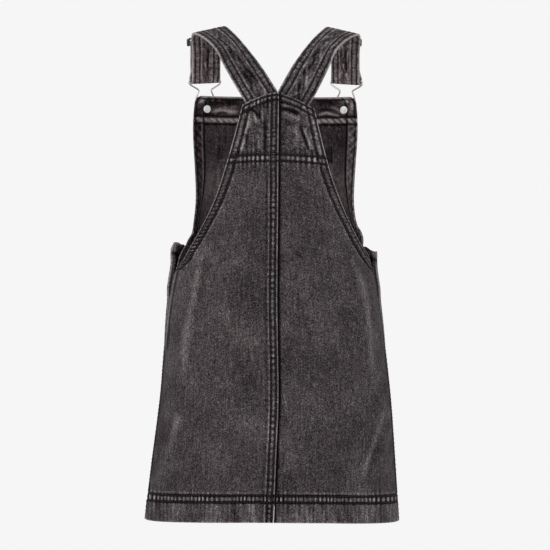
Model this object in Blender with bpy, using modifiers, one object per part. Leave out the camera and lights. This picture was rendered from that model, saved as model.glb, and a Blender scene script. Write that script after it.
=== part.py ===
"""A small child's denim pinafore dress, filled out with no wearer and held at the shoulders.

Frame: +X is the wearer's right, +Y the wearer's front, +Z up. The origin is between the shoulders, level with
the undersides of the straps where they lie highest. Sizes are in millimetres and turned into metres as each
mesh is made. The cloth lies on rings of a general figure: a section table gives each ring's half width, its
depth behind and in front, and how square it is. A place on a ring is its arc length from the centre back or
centre front, so that a hem keeps its width wherever the cloth turns.
"""

import math
from collections.abc import Callable, Sequence
from typing import NamedTuple

import bmesh
import bpy
import numpy as np
from mathutils import Matrix, Vector

MM = 0.001

# Cloth and seams
CLOTH = 1.2  # one layer of denim
DOUBLED = 2.4  # a turned hem or a lapped seam
SEAM_GAP = 0.3  # what lies between two pieces
WAIST_GAP = 0.5  # a little more where the cloth also flares at the pocket mouths
STEP_RUN = 0.8  # the width of the step from one layer to two
UNDERLAY = CLOTH + SEAM_GAP + 0.1  # how far a piece sinks to pass under another

# Heights
BIB_TOP = -70.7
YOKE_PEAK = -74.6
YOKE_SEAM = -138.4
WAIST_SEAM = -238.0
ARMHOLE_FOOT = -256.0
MOUTH_FOOT = -349.0
HEM = -529.5

# Hems and seams
ARMHOLE_HEM = 9.0
YOKE_TOP_HEM = 7.5
LAP = 9.5
HEM_TURN = 28.5
BIB_FACING = 30.0
BIB_SIDE_HEM = 14.0
BIB_CORNER = 6.0
YOKE_SLOPE = 0.2
YOKE_ARCH = 0.0054
YOKE_BOW = 2.8 / 50.0**2
HEM_DROP = 4.0
HEM_DROP_TOP = -380.0
HEM_DROP_FOOT = -520.0
HEM_HALF_WIDTH = 138.0

# Bib pocket, and the hip pockets' backs
POCKET_HALF = 65.0
POCKET_TOP = -125.0
POCKET_FOOT = -207.0
POCKET_HEM = 13.0
POCKET_COLUMNS = 11
HIP_POCKET_REACH = 78.0
HIP_POCKET_FOOT = -378.0
HIP_POCKET_SUNK = (-312.0, -332.0)  # below these the pocket's back lies under the closed seam

# Straps and hardware
STRAP_STEP = 5.5  # the way from one station of a strap to the next
STRAP_FOLD_TOP = -9.0  # the folded end goes up the front as far as the slide
STRAP_WIDTH = 36.0
STRAP_THICK = 2.4
STRAP_LEAN = 2.8  # how far the straps' back ends hang to the right, with the yoke
STRAP_LEAN_TOP = -15.0
STRAP_LEAN_FOOT = -95.0
STRAP_FOLD_SHIFT = {-1.0: 0.8, 1.0: -3.2}  # each side's folded end hangs towards the wearer's left
WIRE = 2.0
BUCKLE_ROOM = 1.0  # the play of a buckle's wire between the bib and the button's cap
BAR_ROOM = 0.8  # the loose fold round a buckle's bar
SLIDE_WIDTH = 42.0
SLIDE_HEIGHT = 12.0
SLIDE_THICK = 1.6
SLIDE_BAR = 1.9
SLIDE_SEAT = 1.2  # the flat slide stands off the bent strap by its curve
CAP_RADIUS = 8.5
TACK_RADIUS = 5.0
TACK_SEAT = 0.45  # the flat tack back stands off the hollow side of the bib by its curve
BUTTON_X = 76.5
BUTTON_Z = -85.3


class Section(NamedTuple):
    """One ring of the figure, how far it hangs to the right, and where the back's lapped seam has its fold.

    Above the armholes' foot only the back hangs to the right.
    """

    z: float
    half_width: float
    back: float
    front: float
    square: float
    lean: float
    lap: float


SECTIONS = (
    Section(-60.0, 106.0, 61.0, 61.0, 3.0, 2.8, 3.2),
    Section(-140.0, 103.0, 66.0, 69.0, 2.9, 2.4, 3.3),
    Section(-160.0, 97.5, 67.0, 71.0, 2.8, 2.2, 3.5),
    Section(-180.0, 90.5, 67.0, 72.0, 2.7, 1.9, 3.8),
    Section(-200.0, 88.2, 67.0, 73.0, 2.6, 1.5, 4.2),
    Section(-212.0, 90.2, 66.5, 74.0, 2.6, 1.2, 4.5),
    Section(-225.0, 95.6, 66.5, 75.0, 2.55, 0.8, 4.8),
    Section(-240.0, 100.0, 67.0, 76.5, 2.5, 0.3, 5.2),
    Section(-256.0, 103.8, 68.5, 78.5, 2.45, 0.0, 5.5),
    Section(-300.0, 112.3, 75.0, 83.0, 2.35, 0.0, 5.6),
    Section(-345.0, 117.6, 81.0, 87.0, 2.3, 1.0, 5.6),
    Section(-400.0, 122.9, 85.0, 90.5, 2.25, 2.1, 5.4),
    Section(-470.0, 129.9, 89.0, 94.5, 2.2, 0.6, 4.6),
    Section(-540.0, 136.4, 92.0, 98.0, 2.2, -0.9, 3.8),
)


class EdgePoint(NamedTuple):
    """How far an armhole's edge lies from the centre at one height."""

    z: float
    x: float


BACK_ARMHOLE = (
    EdgePoint(-88.0, 37.6),
    EdgePoint(-106.0, 42.0),
    EdgePoint(-138.5, 50.3),
    EdgePoint(-160.0, 56.5),
    EdgePoint(-183.0, 64.5),
    EdgePoint(-200.0, 71.3),
    EdgePoint(-215.0, 78.3),
    EdgePoint(-228.0, 84.8),
    EdgePoint(-241.0, 92.4),
    EdgePoint(ARMHOLE_FOOT, 103.6),
)
FRONT_ARMHOLE = (
    EdgePoint(-70.0, 88.2),
    EdgePoint(-96.0, 90.5),
    EdgePoint(-118.0, 90.4),
    EdgePoint(-140.0, 89.0),
    EdgePoint(-163.0, 87.3),
    EdgePoint(-180.0, 86.2),
    EdgePoint(-195.0, 86.3),
    EdgePoint(-205.0, 87.5),
    EdgePoint(-212.0, 89.2),
    EdgePoint(-219.0, 91.8),
    EdgePoint(-228.0, 94.4),
    EdgePoint(WAIST_SEAM, 95.8),
)


class MouthPoint(NamedTuple):
    """A hip pocket's mouth at one height: its way from the side seam, how far it gapes and how widely."""

    z: float
    from_seam: float
    gape: float
    reach: float


MOUTH = (
    MouthPoint(-215.0, 16.0, 0.0, 9.0),
    MouthPoint(-238.0, 16.0, 9.6, 9.0),
    MouthPoint(-258.0, 15.0, 6.0, 15.0),
    MouthPoint(-283.0, 13.0, 4.2, 22.0),
    MouthPoint(-309.0, 10.0, 2.6, 24.0),
    MouthPoint(-333.0, 5.5, 1.3, 24.0),
    MouthPoint(MOUTH_FOOT, 0.0, 0.0, 24.0),
    MouthPoint(-540.0, 0.0, 0.0, 24.0),
)


class Fold(NamedTuple):
    """A soft ridge (or a trough, if its height is below 0) that runs down one face of the cloth."""

    face: str
    top_x: float
    top_z: float
    foot_x: float
    foot_z: float
    height: float
    reach: float


FOLDS = (
    Fold("back", -78.0, -240.0, -116.0, -475.0, 2.6, 11.0),
    Fold("back", 82.0, -240.0, 107.0, -390.0, 2.4, 11.0),
    Fold("back", 124.0, -415.0, 96.0, -512.0, 2.2, 12.0),
    Fold("back", -44.0, -400.0, -58.0, -545.0, 1.6, 16.0),
    Fold("back", 52.0, -330.0, 58.0, -545.0, -1.8, 18.0),
    Fold("front", -74.0, -384.0, -90.0, -545.0, 2.4, 14.0),
    Fold("front", 74.0, -384.0, 82.0, -545.0, 2.0, 15.0),
    Fold("front", 10.0, -300.0, 18.0, -545.0, -2.2, 16.0),
)


class StrapPoint(NamedTuple):
    """A point on the right strap's centre line, and the way that its outer face looks there."""

    x: float
    y: float
    z: float
    out_x: float
    out_y: float
    out_z: float


STRAP_ROUTE = (
    StrapPoint(9.6, -60.0, -93.0, 0.0, -1.0, 0.0),
    StrapPoint(16.2, -60.5, -81.5, 0.0, -1.0, 0.0),
    StrapPoint(24.4, -60.4, -67.7, -0.02, -1.0, 0.05),
    StrapPoint(31.7, -58.8, -55.1, -0.12, -0.96, 0.16),
    StrapPoint(39.8, -55.1, -41.6, -0.22, -0.89, 0.37),
    StrapPoint(47.8, -46.1, -27.6, -0.26, -0.72, 0.64),
    StrapPoint(57.9, -29.0, -15.0, -0.1, -0.51, 0.85),
    StrapPoint(69.5, -8.8, -4.8, 0.16, -0.24, 0.95),
    StrapPoint(75.1, 15.1, -4.0, 0.3, 0.28, 0.9),
    StrapPoint(76.2, 38.0, -18.2, 0.49, 0.65, 0.6),
    StrapPoint(77.0, 49.8, -36.9, 0.53, 0.83, 0.19),
    StrapPoint(77.0, 52.6, -53.0, 0.54, 0.84, 0.1),
)


class WirePoint(NamedTuple):
    """A point of a bib buckle's right half: its way from the middle, and down from the strap's bar."""

    across: float
    down: float


BUCKLE_OUTLINE = (
    WirePoint(0.0, 0.0),
    WirePoint(9.5, 0.0),
    WirePoint(18.4, 0.0),
    WirePoint(19.9, 1.5),
    WirePoint(20.0, 3.8),
    WirePoint(18.0, 5.8),
    WirePoint(13.2, 8.4),
    WirePoint(9.0, 10.6),
    WirePoint(8.1, 12.2),
    WirePoint(8.9, 14.4),
    WirePoint(10.9, 18.6),
    WirePoint(11.3, 22.2),
    WirePoint(9.6, 26.4),
    WirePoint(5.8, 30.6),
    WirePoint(4.5, 33.4),
    WirePoint(3.1, 36.2),
    WirePoint(0.0, 37.4),
)

RING_STEPS = 240
DENIM = ((0.052, 0.046, 0.048), 0.93, 0.0)
STEEL = ((0.78, 0.77, 0.75), 0.28, 1.0)
FACES = {"back": -1.0, "front": 1.0}


def smooth(table: Sequence[NamedTuple], column: str, z: float) -> float:
    """Read a column of a table at a height, with a smooth curve through its rows."""
    heights = np.array([-row.z for row in table])
    values = np.array([getattr(row, column) for row in table])
    slopes = np.gradient(values, heights)
    place = min(max(-z, heights[0]), heights[-1])
    after = min(max(int(np.searchsorted(heights, place)), 1), len(heights) - 1)
    run = heights[after] - heights[after - 1]
    t = (place - heights[after - 1]) / run
    start = (1.0 + 2.0 * t) * (1.0 - t) ** 2 * values[after - 1]
    start += t * (1.0 - t) ** 2 * run * slopes[after - 1]
    end = t**2 * (3.0 - 2.0 * t) * values[after] + t**2 * (t - 1.0) * run * slopes[after]
    return float(start + end)


def ease(value: float, start: float, end: float) -> float:
    """Rise gently from 0 at start to 1 at end."""
    t = min(max((value - start) / (end - start), 0.0), 1.0)
    return t * t * (3.0 - 2.0 * t)


class Ring:
    """The back or front half of the figure's outline at one height."""

    def __init__(self, face: str, z: float) -> None:
        half_width = smooth(SECTIONS, "half_width", z)
        depth = smooth(SECTIONS, face, z)
        power = 2.0 / smooth(SECTIONS, "square", z)
        turn = np.linspace(0.0, math.pi / 2.0, RING_STEPS)
        self.face = face
        self.z = z
        self.lean = smooth(SECTIONS, "lean", z) if face == "back" or z < ARMHOLE_FOOT else 0.0
        self.x = half_width * np.sin(turn) ** power
        self.y = FACES[face] * depth * np.clip(np.cos(turn), 0.0, 1.0) ** power
        self.arc = np.concatenate(([0.0], np.cumsum(np.hypot(np.diff(self.x), np.diff(self.y)))))

    @property
    def length(self) -> float:
        """The way from the centre to the side."""
        return float(self.arc[-1])

    def arc_at(self, x: float) -> float:
        """The arc length at which the ring is x from the centre."""
        return float(np.interp(abs(x), self.x, self.arc)) * (1.0 if x >= 0.0 else -1.0)

    def plan(self, arc: float) -> Vector:
        """The ring's point at a signed arc length, on the right for a positive one."""
        place = min(abs(arc), self.length)
        x = float(np.interp(place, self.arc, self.x))
        return Vector((math.copysign(x, arc) + self.lean, float(np.interp(place, self.arc, self.y)), self.z))

    def outward(self, arc: float) -> Vector:
        """The level direction that points out of the figure there."""
        place = min(abs(arc), self.length)
        ahead = self.plan(min(place + 2.0, self.length))
        behind = self.plan(max(place - 2.0, 0.0))
        way = (ahead - behind).normalized()
        out = Vector((-way.y * FACES[self.face], way.x * FACES[self.face], 0.0))
        if place < 2.0:
            out = Vector((0.0, FACES[self.face], 0.0)).lerp(out, place / 2.0).normalized()
        return Vector((math.copysign(abs(out.x), arc), out.y, 0.0))


def fold_height(face: str, arc: float, z: float) -> float:
    """How far the soft folds lift the cloth."""
    lift = 0.0
    for fold in FOLDS:
        if fold.face == face and fold.foot_z < z < fold.top_z:
            t = (fold.top_z - z) / (fold.top_z - fold.foot_z)
            line = Ring(face, z).arc_at(fold.top_x + t * (fold.foot_x - fold.top_x))
            ends = ease(t, 0.0, 0.3)
            if fold.foot_z > HEM:
                ends = min(ease(t, 0.0, 0.25), ease(1.0 - t, 0.0, 0.25))
            lift += fold.height * ends * math.exp(-(((arc - line) / fold.reach) ** 2))
    return lift


def on_figure(face: str, z: float, arc: float, lift: float = 0.0) -> Vector:
    """A point on the figure's back or front, moved out by lift."""
    ring = Ring(face, z)
    return ring.plan(arc) + ring.outward(arc) * (lift + fold_height(face, arc, z))


class Spread(NamedTuple):
    """Places across a piece, and which of them lie on a doubled edge."""

    places: list[float]
    doubled: list[bool]


def spread(start: float, end: float, first_band: float, last_band: float, count: int) -> Spread:
    """Divide a stretch, with a doubled band at either end and count places between them."""
    sign = 1.0 if end > start else -1.0
    inner_start = start + sign * (first_band + STEP_RUN) if first_band else start
    inner_end = end - sign * (last_band + STEP_RUN) if last_band else end
    places = [float(place) for place in np.linspace(inner_start, inner_end, count)]
    doubled = [False] * count
    if first_band:
        places = [start, start + sign * first_band * 0.5, start + sign * first_band] + places
        doubled = [True] * 3 + doubled
    if last_band:
        places += [end - sign * last_band, end - sign * last_band * 0.5, end]
        doubled += [True] * 3
    return Spread(places, doubled)


def make_material(name: str, finish: tuple[tuple[float, float, float], float, float]) -> bpy.types.Material:
    """A plain Principled material."""
    colour, roughness, metallic = finish
    material = bpy.data.materials.new(name)
    material.use_nodes = True
    shader = material.node_tree.nodes["Principled BSDF"]
    shader.inputs["Base Color"].default_value = (*colour, 1.0)
    shader.inputs["Roughness"].default_value = roughness
    shader.inputs["Metallic"].default_value = metallic
    return material


def link(name: str, data: bpy.types.ID, group: bpy.types.Collection, finish: tuple) -> bpy.types.Object:
    """Make an object of some data in the dress's collection, with a material of its own."""
    data.name = name
    data.materials.append(make_material(name, finish))
    thing = bpy.data.objects.new(name, data)
    group.objects.link(thing)
    return thing


def sew_sheet(
    name: str,
    group: bpy.types.Collection,
    grid: list[list[Vector]],
    doubled: list[list[bool]],
    grow: float,
    mirrored: bool = False,
) -> bpy.types.Object:
    """Turn a grid of points into a wall of cloth.

    Args:
        name: the node's name.
        group: the dress's collection.
        grid: rows of points from the top down, each from left to right as seen from outside.
        doubled: which points lie on two layers.
        grow: 1 if the points are the inside and the wall grows outwards, -1 if it grows inwards.
        mirrored: whether the rows run the other way, as on the front.
    """
    mesh = bpy.data.meshes.new(name)
    shape = bmesh.new()
    rows = [[shape.verts.new(point * MM) for point in row] for row in grid]
    for upper, lower in zip(rows, rows[1:]):
        for left in range(len(upper) - 1):
            corners = [upper[left], lower[left], lower[left + 1], upper[left + 1]]
            shape.faces.new(corners[::-1] if mirrored else corners)
    shape.to_mesh(mesh)
    shape.free()
    sheet = link(name, mesh, group, DENIM)
    flags = [flag for row in doubled for flag in row]
    wall = sheet.modifiers.new("wall", "SOLIDIFY")
    wall.thickness = CLOTH * MM
    wall.offset = grow
    if any(flags):
        layers = sheet.vertex_groups.new(name="two layers")
        layers.add([index for index, flag in enumerate(flags) if flag], 1.0, "REPLACE")
        wall.thickness = DOUBLED * MM
        wall.vertex_group = layers.name
        wall.thickness_vertex_group = CLOTH / DOUBLED
    return sheet


def yoke_top(x: float) -> float:
    """The height of the yoke's top edge, a low peak at the centre back."""
    return YOKE_PEAK - YOKE_SLOPE * abs(x) - YOKE_ARCH * x * x


def hem_drop(level: float, x: float) -> float:
    """How far a row hangs down at the sides, from nothing at the hips to most at the hem."""
    return HEM_DROP * (x / HEM_HALF_WIDTH) ** 2 * ease(-level, -HEM_DROP_TOP, -HEM_DROP_FOOT)


def back_height(level: float, x: float) -> float:
    """A back panel's row: it follows the yoke seam's bow above, and the hem's drop at the sides below."""
    bow = YOKE_BOW * x * x * ease(level, YOKE_SEAM - 60.0, YOKE_SEAM)
    return level - bow - hem_drop(level, x)


def edge_arc(face: str, height: Callable[[float], float]) -> float:
    """The arc length at which a row that rises and falls with x meets the armhole or the side seam."""
    table = BACK_ARMHOLE if face == "back" else FRONT_ARMHOLE
    z = height(60.0)
    for _ in range(4):
        ring = Ring(face, z)
        x = smooth(table, "x", z) if z > ARMHOLE_FOOT else ring.x[-1]
        z = height(min(x, ring.x[-1]))
    ring = Ring(face, z)
    return min(ring.arc_at(x), ring.length - SEAM_GAP / 2.0)


def back_piece(
    name: str,
    group: bpy.types.Collection,
    side: float,
    heights: Sequence[Callable[[float], float]],
    rows_doubled: Sequence[bool],
    columns: int,
) -> bpy.types.Object:
    """One side of the yoke or of the back panel, from the centre seam to the armhole and side seam."""
    grid = []
    doubled = []
    for height, row_doubled in zip(heights, rows_doubled):
        edge = side * edge_arc("back", height)
        fold = smooth(SECTIONS, "lap", height(0.0)) + side * SEAM_GAP / 2.0
        if side < 0.0:
            row = spread(edge, fold, ARMHOLE_HEM, LAP, columns)
        else:
            row = spread(fold, edge, 0.0, ARMHOLE_HEM, columns)
        points = []
        for arc in row.places:
            x = Ring("back", height(arc)).plan(arc).x
            points.append(on_figure("back", height(x), arc))
        grid.append(points)
        doubled.append([row_doubled or flag for flag in row.doubled])
    return sew_sheet(name, group, grid, doubled, 1.0)


def yoke_row(t: float) -> Callable[[float], float]:
    """A row of the yoke, a share t of the way from its top edge to its seam."""
    return lambda x: (1.0 - t) * yoke_top(x) + t * (back_height(YOKE_SEAM, x) + SEAM_GAP)


def panel_row(level: float) -> Callable[[float], float]:
    """A row of a back panel."""
    return lambda x: back_height(level, x)


def make_back(group: bpy.types.Collection) -> None:
    """The yoke and the back panels, left and right of the lapped centre seam."""
    yoke_depth = YOKE_PEAK - YOKE_SEAM
    yoke = spread(0.0, 1.0, YOKE_TOP_HEM / yoke_depth, 0.0, 7)
    panel = spread(YOKE_SEAM, HEM, LAP, HEM_TURN, 26)
    for label, side, yoke_columns, panel_columns in (("left", -1.0, 5, 11), ("right", 1.0, 6, 12)):
        rows = [yoke_row(place) for place in yoke.places]
        back_piece(f"back_yoke_{label}", group, side, rows, yoke.doubled, yoke_columns)
        rows = [panel_row(place) for place in panel.places]
        back_piece(f"back_panel_{label}", group, side, rows, panel.doubled, panel_columns)


def mouth_lift(z: float, from_edge: float) -> float:
    """How far the cloth beside a hip pocket's mouth stands off, from_edge behind its edge."""
    if z > MOUTH[0].z or z < MOUTH_FOOT:
        return 0.0
    reach = smooth(MOUTH, "reach", z)
    return max(smooth(MOUTH, "gape", z), 0.0) * math.exp(-((from_edge / reach) ** 2))


def front_point(z: float, arc: float, lift: float) -> Vector:
    """A point on the front, which gapes beside the hip pockets' mouths."""
    edge = Ring("front", z).length - max(smooth(MOUTH, "from_seam", z), 0.0)
    return on_figure("front", z, arc, lift + mouth_lift(z, edge - abs(arc)))


def bib_edge(z: float) -> float:
    """The arc length of the bib's side edge, with its rounded top corner."""
    ring = Ring("front", z)
    into = max(BIB_CORNER - (BIB_TOP - z), 0.0)
    corner = BIB_CORNER - math.sqrt(BIB_CORNER**2 - into**2)
    return min(ring.arc_at(smooth(FRONT_ARMHOLE, "x", z)), ring.length - 1.0) - corner


def bib_columns(z: float) -> Spread:
    """The bib's columns at one height: its side hems, and between them the pocket's own columns."""
    edge = bib_edge(z)
    half = Ring("front", z).arc_at(POCKET_HALF)
    outer = spread(edge, half, BIB_SIDE_HEM, 0.0, 3)
    middle = [float(place) for place in np.linspace(-half, half, POCKET_COLUMNS)]
    places = [-place for place in outer.places[:-1]] + middle + outer.places[-2::-1]
    doubled = outer.doubled[:-1] + [False] * POCKET_COLUMNS + outer.doubled[-2::-1]
    return Spread(places, doubled)


def make_bib(group: bpy.types.Collection) -> None:
    """The bib, from its top facing to the waist seam, and the patch pocket on it."""
    corner = [BIB_TOP, BIB_TOP - 0.5, BIB_TOP - 2.0, BIB_TOP - BIB_CORNER]
    upper = spread(BIB_TOP, POCKET_TOP, BIB_FACING, 0.0, 4)
    pocket = spread(POCKET_TOP, POCKET_FOOT, POCKET_HEM, 0.0, 6)
    lower = spread(POCKET_FOOT, WAIST_SEAM + WAIST_GAP / 2.0, 0.0, 0.0, 5)
    levels = corner + upper.places[1:-1] + pocket.places + lower.places[1:]
    facing = [True] * len(corner) + upper.doubled[1:-1]
    facing += [False] * (len(levels) - len(facing))
    grid = []
    doubled = []
    for z, row_doubled in zip(levels, facing):
        row = bib_columns(z)
        grid.append([front_point(z, arc, CLOTH) for arc in row.places])
        doubled.append([row_doubled or flag for flag in row.doubled])
    sew_sheet("bib", group, grid, doubled, -1.0, mirrored=True)
    grid = []
    for z in pocket.places:
        half = Ring("front", z).arc_at(POCKET_HALF)
        places = np.linspace(-half, half, POCKET_COLUMNS)
        grid.append([front_point(z, float(arc), CLOTH + SEAM_GAP) for arc in places])
    doubled = [[flag] * POCKET_COLUMNS for flag in pocket.doubled]
    sew_sheet("bib_pocket", group, grid, doubled, 1.0, mirrored=True)


def make_front_skirt(group: bpy.types.Collection) -> None:
    """The front skirt, between the two hip pockets' mouths above and the side seams below."""
    levels = spread(WAIST_SEAM - WAIST_GAP / 2.0, HEM, LAP, HEM_TURN, 20)
    grid = []
    doubled = []
    for level, row_doubled in zip(levels.places, levels.doubled):
        ring = Ring("front", level)
        edge = ring.length - max(smooth(MOUTH, "from_seam", level), SEAM_GAP / 2.0)
        row = spread(-edge, edge, ARMHOLE_HEM, ARMHOLE_HEM, 24)
        points = []
        for arc in row.places:
            z = level - hem_drop(level, ring.plan(arc).x)
            points.append(front_point(z, arc, 0.0))
        grid.append(points)
        doubled.append([row_doubled or flag for flag in row.doubled])
    sew_sheet("front_skirt", group, grid, doubled, 1.0, mirrored=True)


def hip_pocket_height(t: float, from_seam: float) -> float:
    """A row of a hip pocket's back, whose top edge closes the front armhole."""
    top = ARMHOLE_FOOT + (WAIST_SEAM - 2.2 - ARMHOLE_FOOT) * ease(from_seam, -8.0, 30.0)
    foot = MOUTH_FOOT - 4.0 + (HIP_POCKET_FOOT - MOUTH_FOOT + 4.0) * ease(from_seam, 0.0, 30.0)
    rounded = foot + 14.0 * ease(from_seam, HIP_POCKET_REACH - 22.0, HIP_POCKET_REACH)
    return (1.0 - t) * top + t * rounded


def make_hip_pockets(group: bpy.types.Collection) -> None:
    """The hip pockets' backs: they show inside the mouths and run on behind the front skirt."""
    columns = (0.15, 4.0, 9.0, 15.0, 22.0, 30.0, 46.0, 62.0, HIP_POCKET_REACH)
    for label, side in (("left", -1.0), ("right", 1.0)):
        grid = []
        for t in np.linspace(0.0, 1.0, 12):
            points = []
            for from_seam in columns:
                z = hip_pocket_height(float(t), from_seam)
                arc = Ring("front", z).length - from_seam
                sunk = max(ease(from_seam, 3.0, 14.0), ease(-z, -HIP_POCKET_SUNK[0], -HIP_POCKET_SUNK[1]))
                points.append(on_figure("front", z, side * arc, -UNDERLAY * sunk))
            grid.append(points)
        doubled = [[False] * len(columns) for _ in grid]
        sew_sheet(f"hip_pocket_{label}", group, grid, doubled, 1.0, mirrored=side < 0.0)


def curve_through(points: Sequence[Sequence[float]], spacing: float) -> list[np.ndarray]:
    """A smooth curve through points of any size, with a point about every spacing."""
    knots = [np.array(point, dtype=float) for point in points]
    knots = [2.0 * knots[0] - knots[1], *knots, 2.0 * knots[-1] - knots[-2]]
    curve = []
    for before, start, end, after in zip(knots, knots[1:], knots[2:], knots[3:]):
        count = max(int(round(float(np.linalg.norm((end - start)[:3])) / spacing)), 1)
        for step in range(count):
            t = step / count
            tangents = (end - before) * 0.5, (after - start) * 0.5
            curve.append(
                (1.0 + 2.0 * t) * (1.0 - t) ** 2 * start
                + t * (1.0 - t) ** 2 * tangents[0]
                + t * t * (3.0 - 2.0 * t) * end
                + t * t * (t - 1.0) * tangents[1]
            )
    curve.append(knots[-2])
    return curve


class Station(NamedTuple):
    """A strap's centre, its way across and the way that its outer face looks."""

    centre: Vector
    across: Vector
    out: Vector


def strap_stations(spacing: float) -> list[Station]:
    """The right strap's first layer, from the yoke over the shoulder to the buckle's bar."""
    curve = curve_through(STRAP_ROUTE, spacing)
    centres = [Vector(row[:3]) for row in curve]
    stations = []
    for index, row in enumerate(curve):
        ahead = centres[min(index + 1, len(centres) - 1)]
        along = (ahead - centres[max(index - 1, 0)]).normalized()
        across = along.cross(Vector(row[3:])).normalized()
        stations.append(Station(centres[index], across, across.cross(along).normalized()))
    return stations


def strap_with_fold(side: float) -> list[Station]:
    """A strap's whole route: it turns round the buckle's bar and comes back up to the slide."""
    first = strap_stations(STRAP_STEP)
    foot = first[-1]
    along = foot.out.cross(foot.across).normalized()
    turn_radius = WIRE / 2.0 + BAR_ROOM + STRAP_THICK / 2.0
    bar = foot.centre + foot.out * turn_radius
    route = list(first)
    for step in range(1, 6):
        angle = math.pi * step / 6.0
        spoke = foot.out * -math.cos(angle) + along * math.sin(angle)
        route.append(Station(bar + spoke * turn_radius, foot.across, -spoke))
    shift = STRAP_FOLD_SHIFT[side]
    for index, station in enumerate(reversed(first)):
        if station.centre.z > STRAP_FOLD_TOP:
            break
        rise = ease(float(index), 0.0, 2.0)
        off = 2.0 * turn_radius + (STRAP_THICK + SEAM_GAP - 2.0 * turn_radius) * rise
        centre = station.centre + station.out * off + station.across * shift * ease(float(index), 0.0, 5.0)
        route.append(Station(centre, station.across, -station.out))
    return route


def make_straps(group: bpy.types.Collection) -> None:
    """The straps, each one band of two layers of cloth, three faces wide."""
    inner = STRAP_WIDTH / 2.0
    edges = (-inner, -inner / 3.0, inner / 3.0, inner)
    for label, side in (("left", -1.0), ("right", 1.0)):
        mesh = bpy.data.meshes.new(label)
        shape = bmesh.new()
        rings = []
        for station in strap_with_fold(side):
            half = station.out * STRAP_THICK / 2.0
            places = [station.centre + station.across * edge + half for edge in edges]
            places += [station.centre + station.across * edge - half for edge in reversed(edges)]
            for place in places:
                place.x = max(place.x, SEAM_GAP / 2.0) * side
                leaning = ease(-place.z, -STRAP_LEAN_TOP, -STRAP_LEAN_FOOT)
                place.x += STRAP_LEAN * leaning * ease(-place.y, 0.0, 40.0)
            rings.append([shape.verts.new(place * MM) for place in places])
        count = len(edges) * 2
        for ring, following in zip(rings, rings[1:]):
            for corner in range(count):
                beside = (corner + 1) % count
                shape.faces.new((ring[corner], ring[beside], following[beside], following[corner]))
        for ring in (rings[0], rings[-1]):
            for left in range(len(edges) - 1):
                shape.faces.new((ring[left], ring[left + 1], ring[count - 2 - left], ring[count - 1 - left]))
        bmesh.ops.recalc_face_normals(shape, faces=shape.faces)
        shape.to_mesh(mesh)
        shape.free()
        link(f"strap_{label}", mesh, group, DENIM)


def button_seat() -> tuple[Vector, Vector]:
    """The right button's place on the bib's outer face, and the way that face looks."""
    ring = Ring("front", BUTTON_Z)
    arc = ring.arc_at(BUTTON_X)
    return front_point(BUTTON_Z, arc, CLOTH), ring.outward(arc)


def placed(centre: Vector, across: Vector, out: Vector, side: float) -> Matrix:
    """A frame with X across, Z out and Y up, in metres, mirrored in X for the left side."""
    up = out.cross(across).normalized()
    across = Vector((across.x * side, across.y, across.z)) * side
    out = Vector((out.x * side, out.y, out.z))
    up = Vector((up.x * side, up.y, up.z))
    centre = Vector((centre.x * side, centre.y, centre.z)) * MM
    return Matrix.Translation(centre) @ Matrix((across, up, out)).transposed().to_4x4()


def make_buckles(group: bpy.types.Collection) -> None:
    """The bib buckles, closed loops of wire: the bar is in the strap's fold, the foot on the button."""
    foot = strap_stations(STRAP_STEP)[-1]
    bar = foot.centre + foot.out * (WIRE / 2.0 + BAR_ROOM + STRAP_THICK / 2.0)
    seat, out = button_seat()
    down = seat + out * (WIRE / 2.0 + BUCKLE_ROOM) - bar
    half = curve_through(BUCKLE_OUTLINE, 3.6)
    outline = [(float(across), float(low)) for across, low in half]
    outline += [(-across, low) for across, low in outline[-2:0:-1]]
    way = down.normalized()
    across_way = foot.across - way * foot.across.dot(way)
    across_way.normalize()
    for label, side in (("left", -1.0), ("right", 1.0)):
        data = bpy.data.curves.new(label, "CURVE")
        data.dimensions = "3D"
        data.bevel_depth = WIRE / 2.0 * MM
        data.bevel_resolution = 2
        spline = data.splines.new("POLY")
        spline.points.add(len(outline) - 1)
        spline.use_cyclic_u = True
        for point, (across, low) in zip(spline.points, outline):
            place = bar + across_way * across + way * low
            point.co = (place.x * side * MM, place.y * MM, place.z * MM, 1.0)
        link(f"buckle_{label}", data, group, STEEL)


def turned(
    name: str, group: bpy.types.Collection, profile: Sequence[tuple[float, float]], where: Matrix
) -> None:
    """A turned piece: a profile of radius and height, swept round by a Screw modifier."""
    mesh = bpy.data.meshes.new(name)
    shape = bmesh.new()
    points = [shape.verts.new((radius * MM, 0.0, height * MM)) for radius, height in profile]
    for start, end in zip(points, points[1:]):
        shape.edges.new((start, end))
    shape.to_mesh(mesh)
    shape.free()
    piece = link(name, mesh, group, STEEL)
    piece.matrix_world = where
    sweep = piece.modifiers.new("turn", "SCREW")
    sweep.steps = 20
    sweep.render_steps = 20
    sweep.use_merge_vertices = True
    sweep.merge_threshold = 0.00001
    sweep.use_normal_calculate = True


def make_buttons(group: bpy.types.Collection) -> None:
    """The bib's buttons: a domed cap and shank outside, and the tack's round back inside."""
    seat, out = button_seat()
    along = Vector((out.y, -out.x, 0.0))
    under = WIRE + 2.0 * BUCKLE_ROOM
    cap = (
        (0.0, under + 2.6),
        (4.5, under + 2.3),
        (7.4, under + 1.8),
        (CAP_RADIUS, under + 1.0),
        (CAP_RADIUS - 0.4, under),
        (2.8, under),
        (2.8, SEAM_GAP),
        (0.0, SEAM_GAP),
    )
    inside = -DOUBLED - SEAM_GAP - TACK_SEAT
    tack = (
        (0.0, inside),
        (TACK_RADIUS - 0.3, inside),
        (TACK_RADIUS, inside - 0.5),
        (TACK_RADIUS - 1.2, inside - 1.1),
        (0.0, inside - 1.3),
    )
    for label, side in (("left", -1.0), ("right", 1.0)):
        where = placed(seat, along, out, side)
        turned(f"button_{label}", group, cap, where)
        turned(f"tack_{label}", group, tack, where)


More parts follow.
